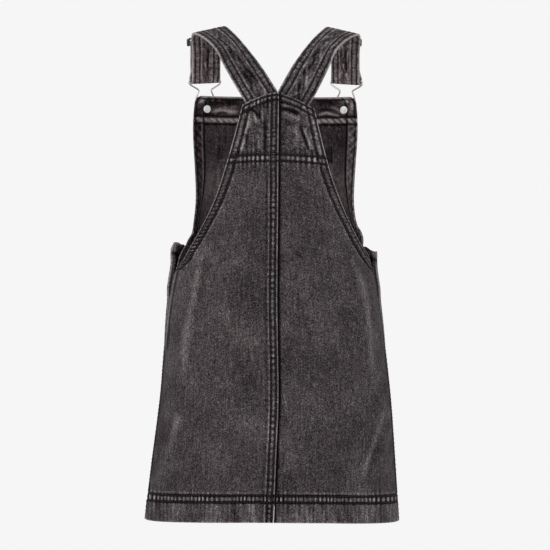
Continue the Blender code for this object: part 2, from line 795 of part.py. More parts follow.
def rounded_box(width: float, height: float, radius: float, middle: float) -> list[tuple[float, float]]:
    """A rectangle's outline with round corners, its centre at (0, middle)."""
    points = []
    for quarter, (across, up) in enumerate(((1, 1), (-1, 1), (-1, -1), (1, -1))):
        corner = (across * (width / 2.0 - radius), middle + up * (height / 2.0 - radius))
        for step in range(3):
            angle = math.pi / 2.0 * (quarter + step / 2.0)
            points.append((corner[0] + radius * math.cos(angle), corner[1] + radius * math.sin(angle)))
    return points


def make_slides(group: bpy.types.Collection) -> None:
    """The strap slides: flat frames with a middle bar, on the folded ends' outer face."""
    slot = (SLIDE_HEIGHT - 3.0 * SLIDE_BAR) / 2.0
    offset = (slot + SLIDE_BAR) / 2.0
    outlines = [rounded_box(SLIDE_WIDTH, SLIDE_HEIGHT, 2.0, 0.0)]
    for middle in (-offset, offset):
        outlines.append(rounded_box(SLIDE_WIDTH - 2.0 * SLIDE_BAR, slot, 0.7, middle))
    for label, side in (("left", -1.0), ("right", 1.0)):
        data = bpy.data.curves.new(label, "CURVE")
        data.dimensions = "2D"
        data.fill_mode = "BOTH"
        data.extrude = SLIDE_THICK / 2.0 * MM
        for outline in outlines:
            spline = data.splines.new("POLY")
            spline.points.add(len(outline) - 1)
            spline.use_cyclic_u = True
            for point, (across, up) in zip(spline.points, outline):
                point.co = (across * MM, up * MM, 0.0, 1.0)
        end = strap_with_fold(side)[-2]
        out = -end.out
        centre = end.centre + out * (STRAP_THICK / 2.0 + SLIDE_SEAT + SLIDE_THICK / 2.0)
        slide = link(f"slide_{label}", data, group, STEEL)
        slide.matrix_world = placed(centre, end.across, out, side)


def main() -> None:
    """Clear the scene and make every piece of the dress."""
    for thing in list(bpy.data.objects):
        bpy.data.objects.remove(thing, do_unlink=True)
    group = bpy.data.collections.new("denim_pinafore_dress")
    bpy.context.scene.collection.children.link(group)
    make_back(group)
    make_bib(group)
    make_front_skirt(group)
    make_hip_pockets(group)
    make_straps(group)
    make_slides(group)
    make_buckles(group)
    make_buttons(group)


if __name__ == "__main__":
    main()
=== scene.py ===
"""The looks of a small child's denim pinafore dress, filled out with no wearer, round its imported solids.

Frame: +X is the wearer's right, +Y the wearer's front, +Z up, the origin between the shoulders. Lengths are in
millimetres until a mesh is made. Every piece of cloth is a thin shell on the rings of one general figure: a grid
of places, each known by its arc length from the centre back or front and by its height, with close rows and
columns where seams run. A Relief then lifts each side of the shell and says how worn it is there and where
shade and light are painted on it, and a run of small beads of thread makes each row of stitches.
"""

import logging
import math
from collections.abc import Callable, Sequence
from dataclasses import dataclass, field
from enum import Enum
from functools import partial
from typing import Any, NamedTuple

import bpy
import numpy as np
from mathutils import Euler, Matrix, Vector


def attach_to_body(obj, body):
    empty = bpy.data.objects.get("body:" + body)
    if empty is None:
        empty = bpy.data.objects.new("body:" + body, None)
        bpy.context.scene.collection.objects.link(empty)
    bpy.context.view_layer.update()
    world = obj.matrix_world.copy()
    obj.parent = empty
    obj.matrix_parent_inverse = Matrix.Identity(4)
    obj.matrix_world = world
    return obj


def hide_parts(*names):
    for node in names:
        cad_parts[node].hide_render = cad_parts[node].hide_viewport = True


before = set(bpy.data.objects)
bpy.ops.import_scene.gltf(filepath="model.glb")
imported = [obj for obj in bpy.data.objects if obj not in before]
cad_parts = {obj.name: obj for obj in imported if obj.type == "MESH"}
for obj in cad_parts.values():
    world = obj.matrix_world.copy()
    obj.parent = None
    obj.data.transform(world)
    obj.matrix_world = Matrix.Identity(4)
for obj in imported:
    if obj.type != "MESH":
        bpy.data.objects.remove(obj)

Array = np.ndarray
Colour = tuple[float, float, float]
MM = 0.001
log = logging.getLogger("dress")

CLOTH = 1.2  # one layer of denim
STEP = 0.8  # the width of the step from one layer to two
SEAM_GAP = 0.3  # what lies between two pieces
BIB_TOP = -70.7
YOKE_PEAK = -74.6
YOKE_SEAM = -138.4
WAIST_SEAM = -238.0
ARMHOLE_FOOT = -256.0
BACK_FOOT = -264.0
MOUTH_FOOT = -349.0
HEM = -529.5
HEM_RISE = 0.8  # how much higher the hem's foot is in its middle
HEM_SAG = 4.8  # how far it falls from there to its sides
HEM_HALF_WIDTH = 138.0
YOKE_BOW = 2.8  # how far the seam under the yoke falls within YOKE_REACH
YOKE_REACH = 50.0
YOKE_SLOPE = 0.2
YOKE_CURVE = 0.0054
SEAM_PHASE = 5.3  # the yoke and the panels pucker in step along their seam
BEAD_SHARES = (0.0, 0.22, 0.5, 0.78, 1.0)  # a stitch's rings, along its length
BEAD_SIZES = (0.45, 0.9, 1.0, 0.9, 0.45)  # and their radii, as shares of its own
BEAD_SIDES = 6
WHEEL_SIDES = 48
WIRE_SIDES = 14


class Face(Enum):
    """The two halves of the figure."""

    BACK = "back"
    FRONT = "front"

    @property
    def way(self) -> float:
        """The sign of Y on this half."""
        return -1.0 if self is Face.BACK else 1.0


class Side(Enum):
    """The wearer's two sides, as seen from behind."""

    LEFT = "left"
    RIGHT = "right"

    @property
    def way(self) -> float:
        """The sign of X on this side."""
        return -1.0 if self is Side.LEFT else 1.0

    @property
    def number(self) -> int:
        """0 on the left and 1 on the right, for what differs from side to side."""
        return int(self is Side.RIGHT)

    @property
    def other(self) -> "Side":
        """The side across."""
        return Side.RIGHT if self is Side.LEFT else Side.LEFT

    @property
    def mirror(self) -> Array:
        """What turns the right side's vectors into this side's."""
        return np.array((self.way, 1.0, 1.0))


class Section(NamedTuple):
    """One ring of the figure, how far it hangs to the right, and where the back's lapped seam has its fold."""

    z: float
    half_width: float
    back: float
    front: float
    square: float
    lean: float
    lap: float


SECTIONS = (
    Section(-60.0, 106.0, 61.0, 61.0, 3.0, 2.8, 3.2),
    Section(-140.0, 103.0, 66.0, 69.0, 2.9, 2.4, 3.3),
    Section(-160.0, 97.5, 67.0, 71.0, 2.8, 2.2, 3.5),
    Section(-180.0, 90.5, 67.0, 72.0, 2.7, 1.9, 3.8),
    Section(-200.0, 88.2, 67.0, 73.0, 2.6, 1.5, 4.2),
    Section(-212.0, 90.2, 66.5, 74.0, 2.6, 1.2, 4.5),
    Section(-225.0, 95.6, 66.5, 75.0, 2.55, 0.8, 4.8),
    Section(-240.0, 100.0, 67.0, 76.5, 2.5, 0.3, 5.2),
    Section(-256.0, 103.8, 68.5, 78.5, 2.45, 0.0, 5.5),
    Section(-300.0, 112.3, 75.0, 83.0, 2.35, 0.0, 5.6),
    Section(-345.0, 117.6, 81.0, 87.0, 2.3, 1.0, 5.6),
    Section(-400.0, 122.9, 85.0, 90.5, 2.25, 2.1, 5.4),
    Section(-470.0, 129.9, 89.0, 94.5, 2.2, 0.6, 4.6),
    Section(-540.0, 136.4, 92.0, 98.0, 2.2, -0.9, 3.8),
)


class EdgePoint(NamedTuple):
    """How far two opposite edges lie from the centre at one height."""

    z: float
    left: float
    right: float


BACK_ARMHOLE = (
    EdgePoint(-88.0, 37.6, 37.6),
    EdgePoint(-106.0, 42.0, 42.0),
    EdgePoint(-138.5, 50.3, 50.3),
    EdgePoint(-160.0, 56.2, 56.5),
    EdgePoint(-183.0, 62.9, 64.8),
    EdgePoint(-200.0, 69.4, 71.9),
    EdgePoint(-215.0, 76.4, 79.3),
    EdgePoint(-228.0, 83.0, 86.3),
    EdgePoint(-241.0, 90.0, 93.8),
    EdgePoint(-255.0, 97.4, 101.4),
    EdgePoint(BACK_FOOT, 104.5, 106.0),
)
FRONT_ARMHOLE = (
    EdgePoint(-70.0, 88.2, 88.2),
    EdgePoint(-96.0, 90.5, 90.5),
    EdgePoint(-118.0, 90.4, 90.4),
    EdgePoint(-140.0, 89.0, 89.0),
    EdgePoint(-163.0, 87.3, 87.3),
    EdgePoint(-180.0, 86.2, 86.2),
    EdgePoint(-195.0, 86.3, 86.3),
    EdgePoint(-205.0, 87.2, 87.5),
    EdgePoint(-212.0, 88.2, 89.2),
    EdgePoint(-219.0, 89.2, 91.8),
    EdgePoint(-224.0, 90.6, 93.4),
    EdgePoint(-229.0, 93.2, 94.6),
    EdgePoint(WAIST_SEAM, 96.2, 95.8),
)


class MouthPoint(NamedTuple):
    """A hip pocket's mouth at one height: its way from the side seam, how far it gapes and how widely."""

    z: float
    from_seam: float
    gape: float
    reach: float


MOUTH = (
    MouthPoint(-215.0, 16.0, 0.0, 9.0),
    MouthPoint(-238.0, 16.0, 9.6, 9.0),
    MouthPoint(-258.0, 15.0, 6.0, 15.0),
    MouthPoint(-283.0, 13.0, 4.2, 22.0),
    MouthPoint(-309.0, 10.0, 2.6, 24.0),
    MouthPoint(-333.0, 5.5, 1.3, 24.0),
    MouthPoint(MOUTH_FOOT, 0.0, 0.0, 24.0),
    MouthPoint(-540.0, 0.0, 0.0, 24.0),
)


class Fold(NamedTuple):
    """A soft ridge (or a trough, if its height is below 0) that runs down one face of the cloth."""

    face: Face
    top_x: float
    top_z: float
    foot_x: float
    foot_z: float
    height: float
    reach: float


FOLDS = (
    Fold(Face.BACK, -78.0, -240.0, -116.0, -475.0, 2.6, 11.0),
    Fold(Face.BACK, 82.0, -240.0, 107.0, -390.0, 2.4, 11.0),
    Fold(Face.BACK, 124.0, -415.0, 96.0, -512.0, 2.2, 12.0),
    Fold(Face.BACK, -44.0, -400.0, -58.0, -545.0, 1.6, 16.0),
    Fold(Face.BACK, 52.0, -330.0, 58.0, -545.0, -1.8, 18.0),
    Fold(Face.FRONT, -74.0, -384.0, -90.0, -545.0, 2.4, 14.0),
    Fold(Face.FRONT, 74.0, -384.0, 82.0, -545.0, 2.0, 15.0),
    Fold(Face.FRONT, 10.0, -300.0, 18.0, -545.0, -2.2, 16.0),
)


class Crease(NamedTuple):
    """A small crease through some places: a ridge, or a trough if its height is below 0, with painted shade in a
    trough and light on a ridge, partly painted highlight and partly rub.
    """

    course: tuple[tuple[float, float], ...]
    height: float
    reach: float
    wear_and_shade: float


class Pucker(NamedTuple):
    """How cloth puckers along a seam: how high, how far apart, and how strongly its crests and hollows are coloured
    there, by rub and by painted light and shade.
    """

    height: float
    spacing: float
    rub_and_shade: float = 1.0


class BarTack(NamedTuple):
    """A close patch of stitches that holds a pocket's corner."""

    low_x: float
    high_x: float
    top: float
    foot: float


def ease(value: Array | float, start: float, end: float) -> Array:
    """Rise gently from 0 at start to 1 at end."""
    t = np.clip((np.asarray(value, dtype=float) - start) / (end - start), 0.0, 1.0)
    return t * t * (3.0 - 2.0 * t)


def fall(value: Array | float, start: float, end: float) -> Array:
    """Fall gently from 1 at start to 0 at end."""
    return 1.0 - ease(value, start, end)


def window(value: Array | float, start: float, full: float, fading: float, end: float) -> Array:
    """Rise gently from 0 at start to 1 at full, and fall from 1 at fading to 0 at end."""
    return ease(value, start, full) * fall(value, fading, end)


def bell(value: Array, middle: float, reach: float) -> Array:
    """A soft bump of height 1 at middle."""
    return np.exp(-(((value - middle) / reach) ** 2))


def doubled(distance: Array, band: float) -> Array:
    """1 on a doubled band beside an edge, 0 past the step at its end."""
    return fall(distance, band, band + STEP)


def ticks(along: Array, spacing: float, shift: Array | float = 0.0) -> Array:
    """A wave between -1 and 1, such as the twill's ribs make on a worn edge."""
    return np.sin(2.0 * math.pi * along / spacing + shift)


def ripple(along: Array, spacing: float, phase: float) -> Array:
    """An uneven wave between -1 and 1, as cloth puckers along a row of stitches."""
    wander = 1.7 * np.sin(along / (spacing * 2.9) + 1.3 * phase) + 1.1 * np.sin(along / (spacing * 1.37) + 2.1 * phase)
    swell = 0.7 + 0.3 * np.sin(along / (spacing * 1.9) + 0.7 * phase)
    return swell * np.sin(2.0 * math.pi * along / spacing + wander)


def hermite(t: Array, start: Array, leaving: Array, end: Array, arriving: Array) -> Array:
    """A smooth way from start, at t = 0, to end, at t = 1, with the slopes that it has there."""
    return (
        (1.0 + 2.0 * t) * (1.0 - t) ** 2 * start
        + t * (1.0 - t) ** 2 * leaving
        + t * t * (3.0 - 2.0 * t) * end
        + t * t * (t - 1.0) * arriving
    )


def smooth(table: Sequence[NamedTuple], column: str, z: Array | float) -> Array:
    """Read a column of a table at any heights, with a smooth curve through its rows."""
    heights = np.array([-row.z for row in table])
    values = np.array([getattr(row, column) for row in table])
    slopes = np.gradient(values, heights)
    place = np.clip(-np.asarray(z, dtype=float), heights[0], heights[-1])
    after = np.clip(np.searchsorted(heights, place), 1, len(heights) - 1)
    run = heights[after] - heights[after - 1]
    t = (place - heights[after - 1]) / run
    return hermite(t, values[after - 1], run * slopes[after - 1], values[after], run * slopes[after])


def unit(vectors: Array) -> Array:
    """Vectors cut to length 1."""
    return vectors / np.maximum(np.linalg.norm(vectors, axis=-1, keepdims=True), 1e-9)


def walk(points: Array) -> Array:
    """How far each point of a row lies along it."""
    return np.concatenate(([0.0], np.cumsum(np.linalg.norm(np.diff(points, axis=0), axis=1))))


def circle(sides: int) -> tuple[Array, Array]:
    """The cosines and sines of even turns, as columns."""
    turn = np.linspace(0.0, 2.0 * math.pi, sides + 1)[:-1, None]
    return np.cos(turn), np.sin(turn)


def spread(near: Array, far: Array, count: int) -> Array:
    """Rows of places: those near one edge, even ones between, and those near the other edge."""
    shares = np.linspace(0.0, 1.0, count + 2)[1:-1]
    middle = near[:, -1:] + (far[:, :1] - near[:, -1:]) * shares
    return np.concatenate([near, middle, far], axis=1)


def smooth_mesh(name: str, points: Array, faces: list[list[int]]) -> bpy.types.Mesh:
    """A smooth mesh of points that are given in millimetres."""
    mesh = bpy.data.meshes.new(name)
    mesh.from_pydata(points * MM, [], faces)
    mesh.shade_smooth()
    return mesh


class Figure:
    """The general figure: its back and front half rings, tabled by height and by share of their length."""

    TOP = -50.0
    FOOT = -546.0
    SHARES = 400

    def __init__(self) -> None:
        self.heights = np.arange(self.TOP, self.FOOT, -1.0)
        self.length: dict[Face, Array] = {}
        self.plan_x: dict[Face, Array] = {}
        self.plan_y: dict[Face, Array] = {}
        for face in Face:
            rings = [self.ring(face, float(z)) for z in self.heights]
            shares = np.linspace(0.0, 1.0, self.SHARES)
            self.length[face] = np.array([arc[-1] for _, _, arc in rings])
            self.plan_x[face] = np.array([np.interp(shares * arc[-1], arc, x) for x, _, arc in rings])
            self.plan_y[face] = np.array([np.interp(shares * arc[-1], arc, y) for _, y, arc in rings])

    @staticmethod
    def ring(face: Face, z: float) -> tuple[Array, Array, Array]:
        """One half ring from the centre to the side: X, Y and arc length."""
        power = 2.0 / smooth(SECTIONS, "square", z)
        turn = np.linspace(0.0, math.pi / 2.0, 240)
        x = smooth(SECTIONS, "half_width", z) * np.sin(turn) ** power
        y = face.way * smooth(SECTIONS, face.value, z) * np.clip(np.cos(turn), 0.0, 1.0) ** power
        return x, y, np.concatenate(([0.0], np.cumsum(np.hypot(np.diff(x), np.diff(y)))))

    def arc_at(self, face: Face, z: float, x: float) -> float:
        """The arc length at which one ring is x from the centre."""
        across, _, arc = self.ring(face, z)
        return float(np.interp(abs(x), across, arc))

    def arcs_at(self, face: Face, z: Array, x: Array | float) -> Array:
        """The arc lengths at which a column of rings is x from the centre."""
        pairs = zip(z[:, 0], np.broadcast_to(x, z.shape)[:, 0])
        return np.array([[self.arc_at(face, float(level), float(place))] for level, place in pairs])

    def lengths(self, face: Face, z: Array) -> Array:
        """The half rings' lengths at many heights."""
        return np.interp(-np.asarray(z), -self.heights, self.length[face])

    def _read(self, table: Array, z: Array, share: Array) -> Array:
        row = np.clip(self.TOP - z, 0.0, len(self.heights) - 1.001)
        column = np.clip(share, 0.0, 1.0) * (self.SHARES - 1.001)
        i, j = row.astype(int), column.astype(int)
        f, g = row - i, column - j
        upper = table[i, j] * (1.0 - g) + table[i, j + 1] * g
        lower = table[i + 1, j] * (1.0 - g) + table[i + 1, j + 1] * g
        return upper * (1.0 - f) + lower * f

    def flat(self, face: Face, z: Array, arc: Array) -> Array:
        """The figure's points with no folds, one for each height and signed arc length."""
        share = np.abs(arc) / self.lengths(face, z)
        lean = smooth(SECTIONS, "lean", z)
        if face is Face.FRONT:
            lean = np.where(z < ARMHOLE_FOOT, lean, 0.0)
        x = np.copysign(self._read(self.plan_x[face], z, share), arc) + lean
        return np.stack([x, self._read(self.plan_y[face], z, share), z], axis=-1)

    def outward(self, face: Face, z: Array, arc: Array) -> Array:
        """The level directions that point out of the figure there."""
        place = np.abs(arc)
        ahead = self.flat(face, z, np.minimum(place + 2.0, self.lengths(face, z)))
        behind = self.flat(face, z, np.maximum(place - 2.0, 0.0))
        way = unit(ahead - behind)
        out = np.stack([-way[..., 1] * face.way, way[..., 0] * face.way, np.zeros_like(z)], axis=-1)
        near = np.clip(place / 2.0, 0.0, 1.0)[..., None]
        out = unit(out * near + np.array((0.0, face.way, 0.0)) * (1.0 - near))
        out[..., 0] = np.copysign(np.abs(out[..., 0]), arc)
        return out

    def folds(self, face: Face, z: Array, arc: Array) -> Array:
        """How far the soft folds lift the cloth."""
        lift = np.zeros_like(z)
        for fold in FOLDS:
            if fold.face is not face:
                continue
            reach = np.linspace(fold.top_z, fold.foot_z, 40)
            shares = (fold.top_z - reach) / (fold.top_z - fold.foot_z)
            line = [
                math.copysign(self.arc_at(face, level, x), x)
                for level, x in zip(reach, fold.top_x + shares * (fold.foot_x - fold.top_x))
            ]
            t = (fold.top_z - z) / (fold.top_z - fold.foot_z)
            ends = ease(t, 0.0, 0.3)
            if fold.foot_z > HEM:
                ends = np.minimum(ease(t, 0.0, 0.25), ease(1.0 - t, 0.0, 0.25))
            inside = (z < fold.top_z) & (z > fold.foot_z)
            lift += inside * fold.height * ends * bell(arc, np.interp(-z, -reach, line), fold.reach)
        return lift


def close_places(lines: Sequence[float], reach: float, coarse: float = 1.3) -> list[float]:
    """Distances from an edge for a grid's rows or columns: close ones at the edge and at each row of stitches."""
    wanted = {0.0, 0.25, 0.7}
    for line in lines:
        wanted |= {line - 1.0, line - 0.5, line, line + 0.5, line + 1.0}
    kept = [0.0]
    for place in sorted(wanted | {reach}):
        if place - kept[-1] < 0.2 or place > reach:
            continue
        count = max(math.ceil((place - kept[-1]) / coarse), 1)
        kept += [kept[-1] + (place - kept[-1]) * (step + 1) / count for step in range(count)]
    return kept


@dataclass
class Grid:
    """Places in rows from the top down, with the ways out and the distances from the four edges."""

    base: Array
    out: Array
    left: Array
    right: Array
    top: Array
    foot: Array
    weave: Array

    @property
    def x(self) -> Array:
        """X of every place."""
        return self.base[..., 0]

    @property
    def z(self) -> Array:
        """Z of every place."""
        return self.base[..., 2]

    def edge(self, side: Side) -> Array:
        """How far every place lies from the left or the right edge."""
        return self.left if side is Side.LEFT else self.right

    def along(self, side: Side) -> Array:
        """The way along the left or the right edge, for every place of each row."""
        return walk(self.base[:, -side.number])[:, None] + np.zeros(self.left.shape)

    def cut(self) -> tuple[float, float, float]:
        """The flat piece's width and length, and its area, in metres."""
        across = np.linalg.norm(np.diff(self.base, axis=1), axis=2)
        down = np.linalg.norm(np.diff(self.base, axis=0), axis=2)
        diagonals = np.cross(self.base[1:, 1:] - self.base[:-1, :-1], self.base[1:, :-1] - self.base[:-1, 1:])
        area = float(0.5 * np.linalg.norm(diagonals, axis=2).sum())
        width, length = float(across.sum(axis=1).max()), float(down.sum(axis=0).max())
        return width * MM, length * MM, area * MM * MM


class Relief:
    """How far one side of a piece stands out from its grid, and how worn it is, with the shade and light painted on
    it, from -1 to 1.
    """

    def __init__(self, lift: Array) -> None:
        self.lift = lift.astype(float)
        self.wear_and_shade = np.zeros_like(self.lift)

    @classmethod
    def level(cls, like: Array, height: float = 0.0) -> "Relief":
        """A plain side at one height, for a grid like another."""
        return cls(np.zeros_like(like) + height)

    def lay(self, marks: "Relief", sign: float = 1.0, share: Array | float = 1.0) -> None:
        """Lay marks on this side. On an inner side the sign is -1, since there up is inwards."""
        self.lift += sign * share * marks.lift
        self.wear_and_shade += share * marks.wear_and_shade

    def groove(self, distance: Array, at: float, depth: float = 0.5, reach: float = 0.85, dark: float = 1.4) -> None:
        """Sink a row of stitches into the cloth, and darken it: partly the less rubbed cloth there, partly painted
        shade in the groove.
        """
        mark = bell(distance, at, reach)
        self.lift -= depth * mark
        # painted shade in the groove, on top of the darker unrubbed cloth
        self.wear_and_shade -= dark * bell(distance, at, reach * 1.2)

    def grooves(self, distance: Array, lines: Sequence[float], depth: float = 0.5, reach: float = 0.85) -> None:
        """Sink some rows of stitches into the cloth."""
        for line in lines:
            self.groove(distance, line, depth, reach)

    def ridge(self, distance: Array, at: float, height: float, reach: float, wear_and_shade: float) -> None:
        """Raise a soft line beside a seam."""
        mark = bell(distance, at, reach)
        self.lift += height * mark
        self.wear_and_shade += wear_and_shade * mark

    def worn_edge(self, along: Array, distance: Array, wear_and_shade: float = 1.2, reach: float = 0.9) -> None:
        """Rub an edge light, in the small ticks that its twill makes."""
        ribs = 0.72 + 0.28 * ticks(along, 2.3, 1.5 * np.sin(along / 7.0))
        self.wear_and_shade += wear_and_shade * ribs * np.exp(-((distance / reach) ** 1.5))

    def ladder(
        self,
        along: Array,
        distance: Array,
        lines: tuple[float, float],
        pucker: Pucker,
        phase: float,
        rub_and_shade: Array | float = 1.0,
    ) -> None:
        """Pucker the cloth between two rows of stitches, and a little past the second, light on the crests and dark
        between them.

        Args:
            along: the way along the rows.
            distance: the way from the edge that the rows follow.
            lines: how far from it the two rows are.
            pucker: how the cloth puckers.
            phase: a number that sets this seam's own unevenness.
            rub_and_shade: how much more or less the puckers are coloured, by rub and by painted light and shade, from
                place to place.
        """
        first, last = lines
        wave = ripple(along, pucker.spacing, phase)
        between = window(distance, first, first + 1.2, last - 1.2, last)
        past = ease(distance, last, last + 1.2) * np.exp(-np.maximum(distance - last, 0.0) / 4.0)
        patchy = 0.75 + 0.35 * ripple(along, pucker.spacing * 5.3, phase + 2.6)
        self.lift += 1.4 * pucker.height * wave * (between + 0.5 * past) * patchy
        # light crests and dark hollows: partly rub, partly painted highlight and shade that follow the puckers
        self.wear_and_shade += pucker.rub_and_shade * rub_and_shade * ((0.10 + 0.95 * wave * patchy) * between + 0.4 * wave * past)

    def pucker_past(
        self, along: Array, distance: Array, start: float, reach: float, pucker: Pucker, phase: float
    ) -> None:
        """Let the puckers of a seam run on into the cloth past a distance from it, and fade, with light crests and
        dark hollows, partly rub and partly painted light and shade.
        """
        wave = ripple(along, pucker.spacing, phase) + 0.5 * ripple(along, pucker.spacing * 2.3, phase + 4.0)
        fade = ease(distance, start - 1.0, start + 0.5) * np.exp(-np.maximum(distance - start, 0.0) / reach)
        self.lift += pucker.height * wave * fade
        # painted light and shade with the puckers, partly rub
        self.wear_and_shade += 0.35 * wave * fade

    def crease(self, across: Array, up: Array, creases: Sequence[Crease]) -> None:
        """Press small creases into the cloth, by two of its coordinates, with painted shade in the troughs and light
        on the ridges.
        """
        places = np.stack([across, up], axis=-1)
        for mark in creases:
            course = np.array(mark.course)
            lengths = np.linalg.norm(np.diff(course, axis=0), axis=1)
            nearest = np.full(across.shape, 1e9)
            walked = np.zeros(across.shape)
            for number, (start, end) in enumerate(zip(course, course[1:])):
                way = end - start
                t = np.clip(((places - start) @ way) / (way @ way), 0.0, 1.0)
                gap = np.linalg.norm(places - start - t[..., None] * way, axis=-1)
                share = (lengths[:number].sum() + t * lengths[number]) / lengths.sum()
                walked = np.where(gap < nearest, share, walked)
                nearest = np.minimum(gap, nearest)
            line = bell(nearest, 0.0, mark.reach) * window(walked, -0.05, 0.25, 0.75, 1.05)
            self.lift += mark.height * line
            # painted shade in a trough and light on a ridge, partly painted highlight and partly rub
            self.wear_and_shade += mark.wear_and_shade * line


@dataclass
class Cloth:
    """A shell of cloth: a grid, with a relief on its outer and on its inner side."""

    grid: Grid
    outer: Relief
    inner: Relief

    def sides(self) -> tuple[Array, Array]:
        """The outer and the inner points, drawn together round the rim."""
        grid = self.grid
        rim = np.minimum(np.minimum(grid.left, grid.right), np.minimum(grid.top, grid.foot))
        turn = 0.3 + 0.7 * np.sqrt(1.0 - (1.0 - np.clip(rim / 0.7, 0.0, 1.0)) ** 2)
        middle = 0.5 * (self.outer.lift + self.inner.lift)
        half = np.maximum(0.5 * (self.outer.lift - self.inner.lift), 0.3) * turn
        return tuple(grid.base + grid.out * (middle + sign * half)[..., None] for sign in (1.0, -1.0))

    def line(self, edge: str, at: float, inner: bool = False) -> tuple[Array, Array]:
        """The row or column of places at a distance from an edge, and the ways out there."""
        distance = getattr(self.grid, edge)
        points = self.sides()[1 if inner else 0]
        ways = -self.grid.out if inner else self.grid.out
        if edge in ("top", "foot"):
            distance, points, ways = distance.T, points.swapaxes(0, 1), ways.swapaxes(0, 1)
        nearest = np.abs(distance - at).argmin(axis=1)
        rows = np.arange(len(nearest))
        return points[rows, nearest], ways[rows, nearest]

    def sew(self, name: str, finish: bpy.types.Material, mirrored: bool, replaces: str) -> bpy.types.Object:
        """Make the shell's mesh and put it in the CAD piece's place.

        Args:
            name: the piece's name.
            finish: its material.
            mirrored: whether its rows run the other way, as on the front.
            replaces: the CAD node that it stands for.

        Returns:
            The piece.
        """
        rows, columns = self.outer.lift.shape
        outer, inner = self.sides()
        index = np.arange(rows * columns).reshape(rows, columns)
        quads = np.stack([index[:-1, :-1], index[1:, :-1], index[1:, 1:], index[:-1, 1:]], axis=-1).reshape(-1, 4)
        border = np.concatenate([index[0, :-1], index[:-1, -1], index[-1, :0:-1], index[:0:-1, 0]])
        after = np.roll(border, -1)
        count = rows * columns
        rim = np.stack([border, after, after + count, border + count], axis=-1)
        faces = np.concatenate([quads, quads[:, ::-1] + count, rim])
        if mirrored:
            faces = faces[:, ::-1]
        mesh = smooth_mesh(name, np.concatenate([outer.reshape(-1, 3), inner.reshape(-1, 3)]), faces.tolist())
        # one scale of wear and of painted shade and light, kept on the mesh's points
        wear_and_shade = np.concatenate([self.outer.wear_and_shade.ravel(), self.inner.wear_and_shade.ravel()])
        inside = np.concatenate([np.zeros(count), np.ones(count)])
        for label, values in (("wear_and_shade", wear_and_shade), ("inside", inside)):
            mesh.attributes.new(label, "FLOAT", "POINT").data.foreach_set("value", values.astype(np.float32))
        weave = np.concatenate([self.grid.weave.reshape(-1, 2)] * 2)[faces.ravel()] * MM
        mesh.uv_layers.new(name="weave").data.foreach_set("uv", weave.astype(np.float32).ravel())
        piece = attach(name, mesh, finish, "denim", replaces)
        width, length, area = self.grid.cut()
        return piece


def attach(name: str, data: bpy.types.ID, finish: bpy.types.Material, slot: str, *replaces: str) -> bpy.types.Object:
    """Put a piece on the dress's one body.

    Args:
        name: the piece's name.
        data: its mesh.
        finish: its material.
        slot: not used.
        replaces: the CAD nodes that it stands for.

    Returns:
        The piece.
    """
    data.materials.append(finish)
    piece = bpy.data.objects.new(name, data)
    bpy.context.scene.collection.objects.link(piece)
    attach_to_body(piece, "root")
    if replaces:
        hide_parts(*replaces)
    log.info("%s: %d faces", name, len(data.polygons))
    return piece


@dataclass
class Stitching:
    """Rows of stitches, each stitch a bead of thread that dips into the cloth at both ends."""

    pitch: float = 3.0
    length: float = 2.3
    radius: float = 0.3
    sink: float = 0.35
    beads: list[Array] = field(default_factory=list)

    def run(self, line: tuple[Array, Array], start: float = 0.0, end: float = 0.0, pitch: float = 0.0) -> None:
        """Sew along a line of points.

        Args:
            line: the points, and the ways out of the cloth there.
            start: how far from the line's start the stitches begin.
            end: how far from its end they stop.
            pitch: the way from one stitch to the next, if not the usual one.
        """
        points, ways = line
        along = walk(points)
        pitch = pitch or self.pitch
        begins = np.arange(start, along[-1] - end - pitch, pitch)
        if not len(begins):
            return
        shares = np.array(BEAD_SHARES)
        places = begins[:, None] + shares * self.length * pitch / self.pitch
        centre = np.stack([np.interp(places, along, points[:, axis]) for axis in range(3)], axis=-1)
        out = unit(np.stack([np.interp(places, along, ways[:, axis]) for axis in range(3)], axis=-1))
        across = np.cross(unit(np.gradient(centre, axis=1)), out)
        arch = np.sin(math.pi * np.clip(shares, 0.08, 0.92))
        height = self.radius * 0.45 - self.sink * (1.0 - arch) ** 1.5
        centre = centre + out * height[:, None]
        cosines, sines = circle(BEAD_SIDES)
        spokes = out[:, :, None] * cosines + across[:, :, None] * sines
        size = self.radius * np.array(BEAD_SIZES)[None, :, None, None]
        rings = centre[:, :, None] + spokes * size
        self.beads.append(rings.reshape(-1, len(BEAD_SHARES) * BEAD_SIDES, 3))

    def rows(
        self,
        cloth: Cloth,
        edges: Sequence[str],
        lines: Sequence[float],
        start: float = 0.0,
        end: float = 0.0,
        inside: bool = False,
        above: float = -math.inf,
    ) -> None:
        """Sew rows of stitches beside some of a piece's edges.

        Args:
            cloth: the piece.
            edges: the edges' names.
            lines: how far from its edge each row is.
            start: how far from a row's start the stitches begin.
            end: how far from its end they stop.
            inside: whether they are sewn on the inner side.
            above: the height below which there are none.
        """
        for edge in edges:
            for line in lines:
                points, ways = cloth.line(edge, line, inside)
                kept = points[:, 2] > above
                self.run((points[kept], ways[kept]), start, end)

    def sew(self, name: str, finish: bpy.types.Material) -> bpy.types.Object:
        """Make one piece of all the rows."""
        beads = np.concatenate(self.beads)
        ring = np.arange(BEAD_SIDES)
        beside = np.roll(ring, -1)
        wall = np.stack([ring, beside, beside + BEAD_SIDES, ring + BEAD_SIDES], axis=-1)
        last = (len(BEAD_SHARES) - 1) * BEAD_SIDES
        caps = [np.array(((0, 5, 4, 3), (0, 3, 2, 1))), np.array(((0, 1, 2, 3), (0, 3, 4, 5))) + last]
        faces = np.concatenate([wall + low for low in range(0, last, BEAD_SIDES)] + caps)
        every = faces[None] + beads.shape[1] * np.arange(len(beads))[:, None, None]
        return attach(name, smooth_mesh(name, beads.reshape(-1, 3), every.reshape(-1, 4).tolist()), finish, "denim")


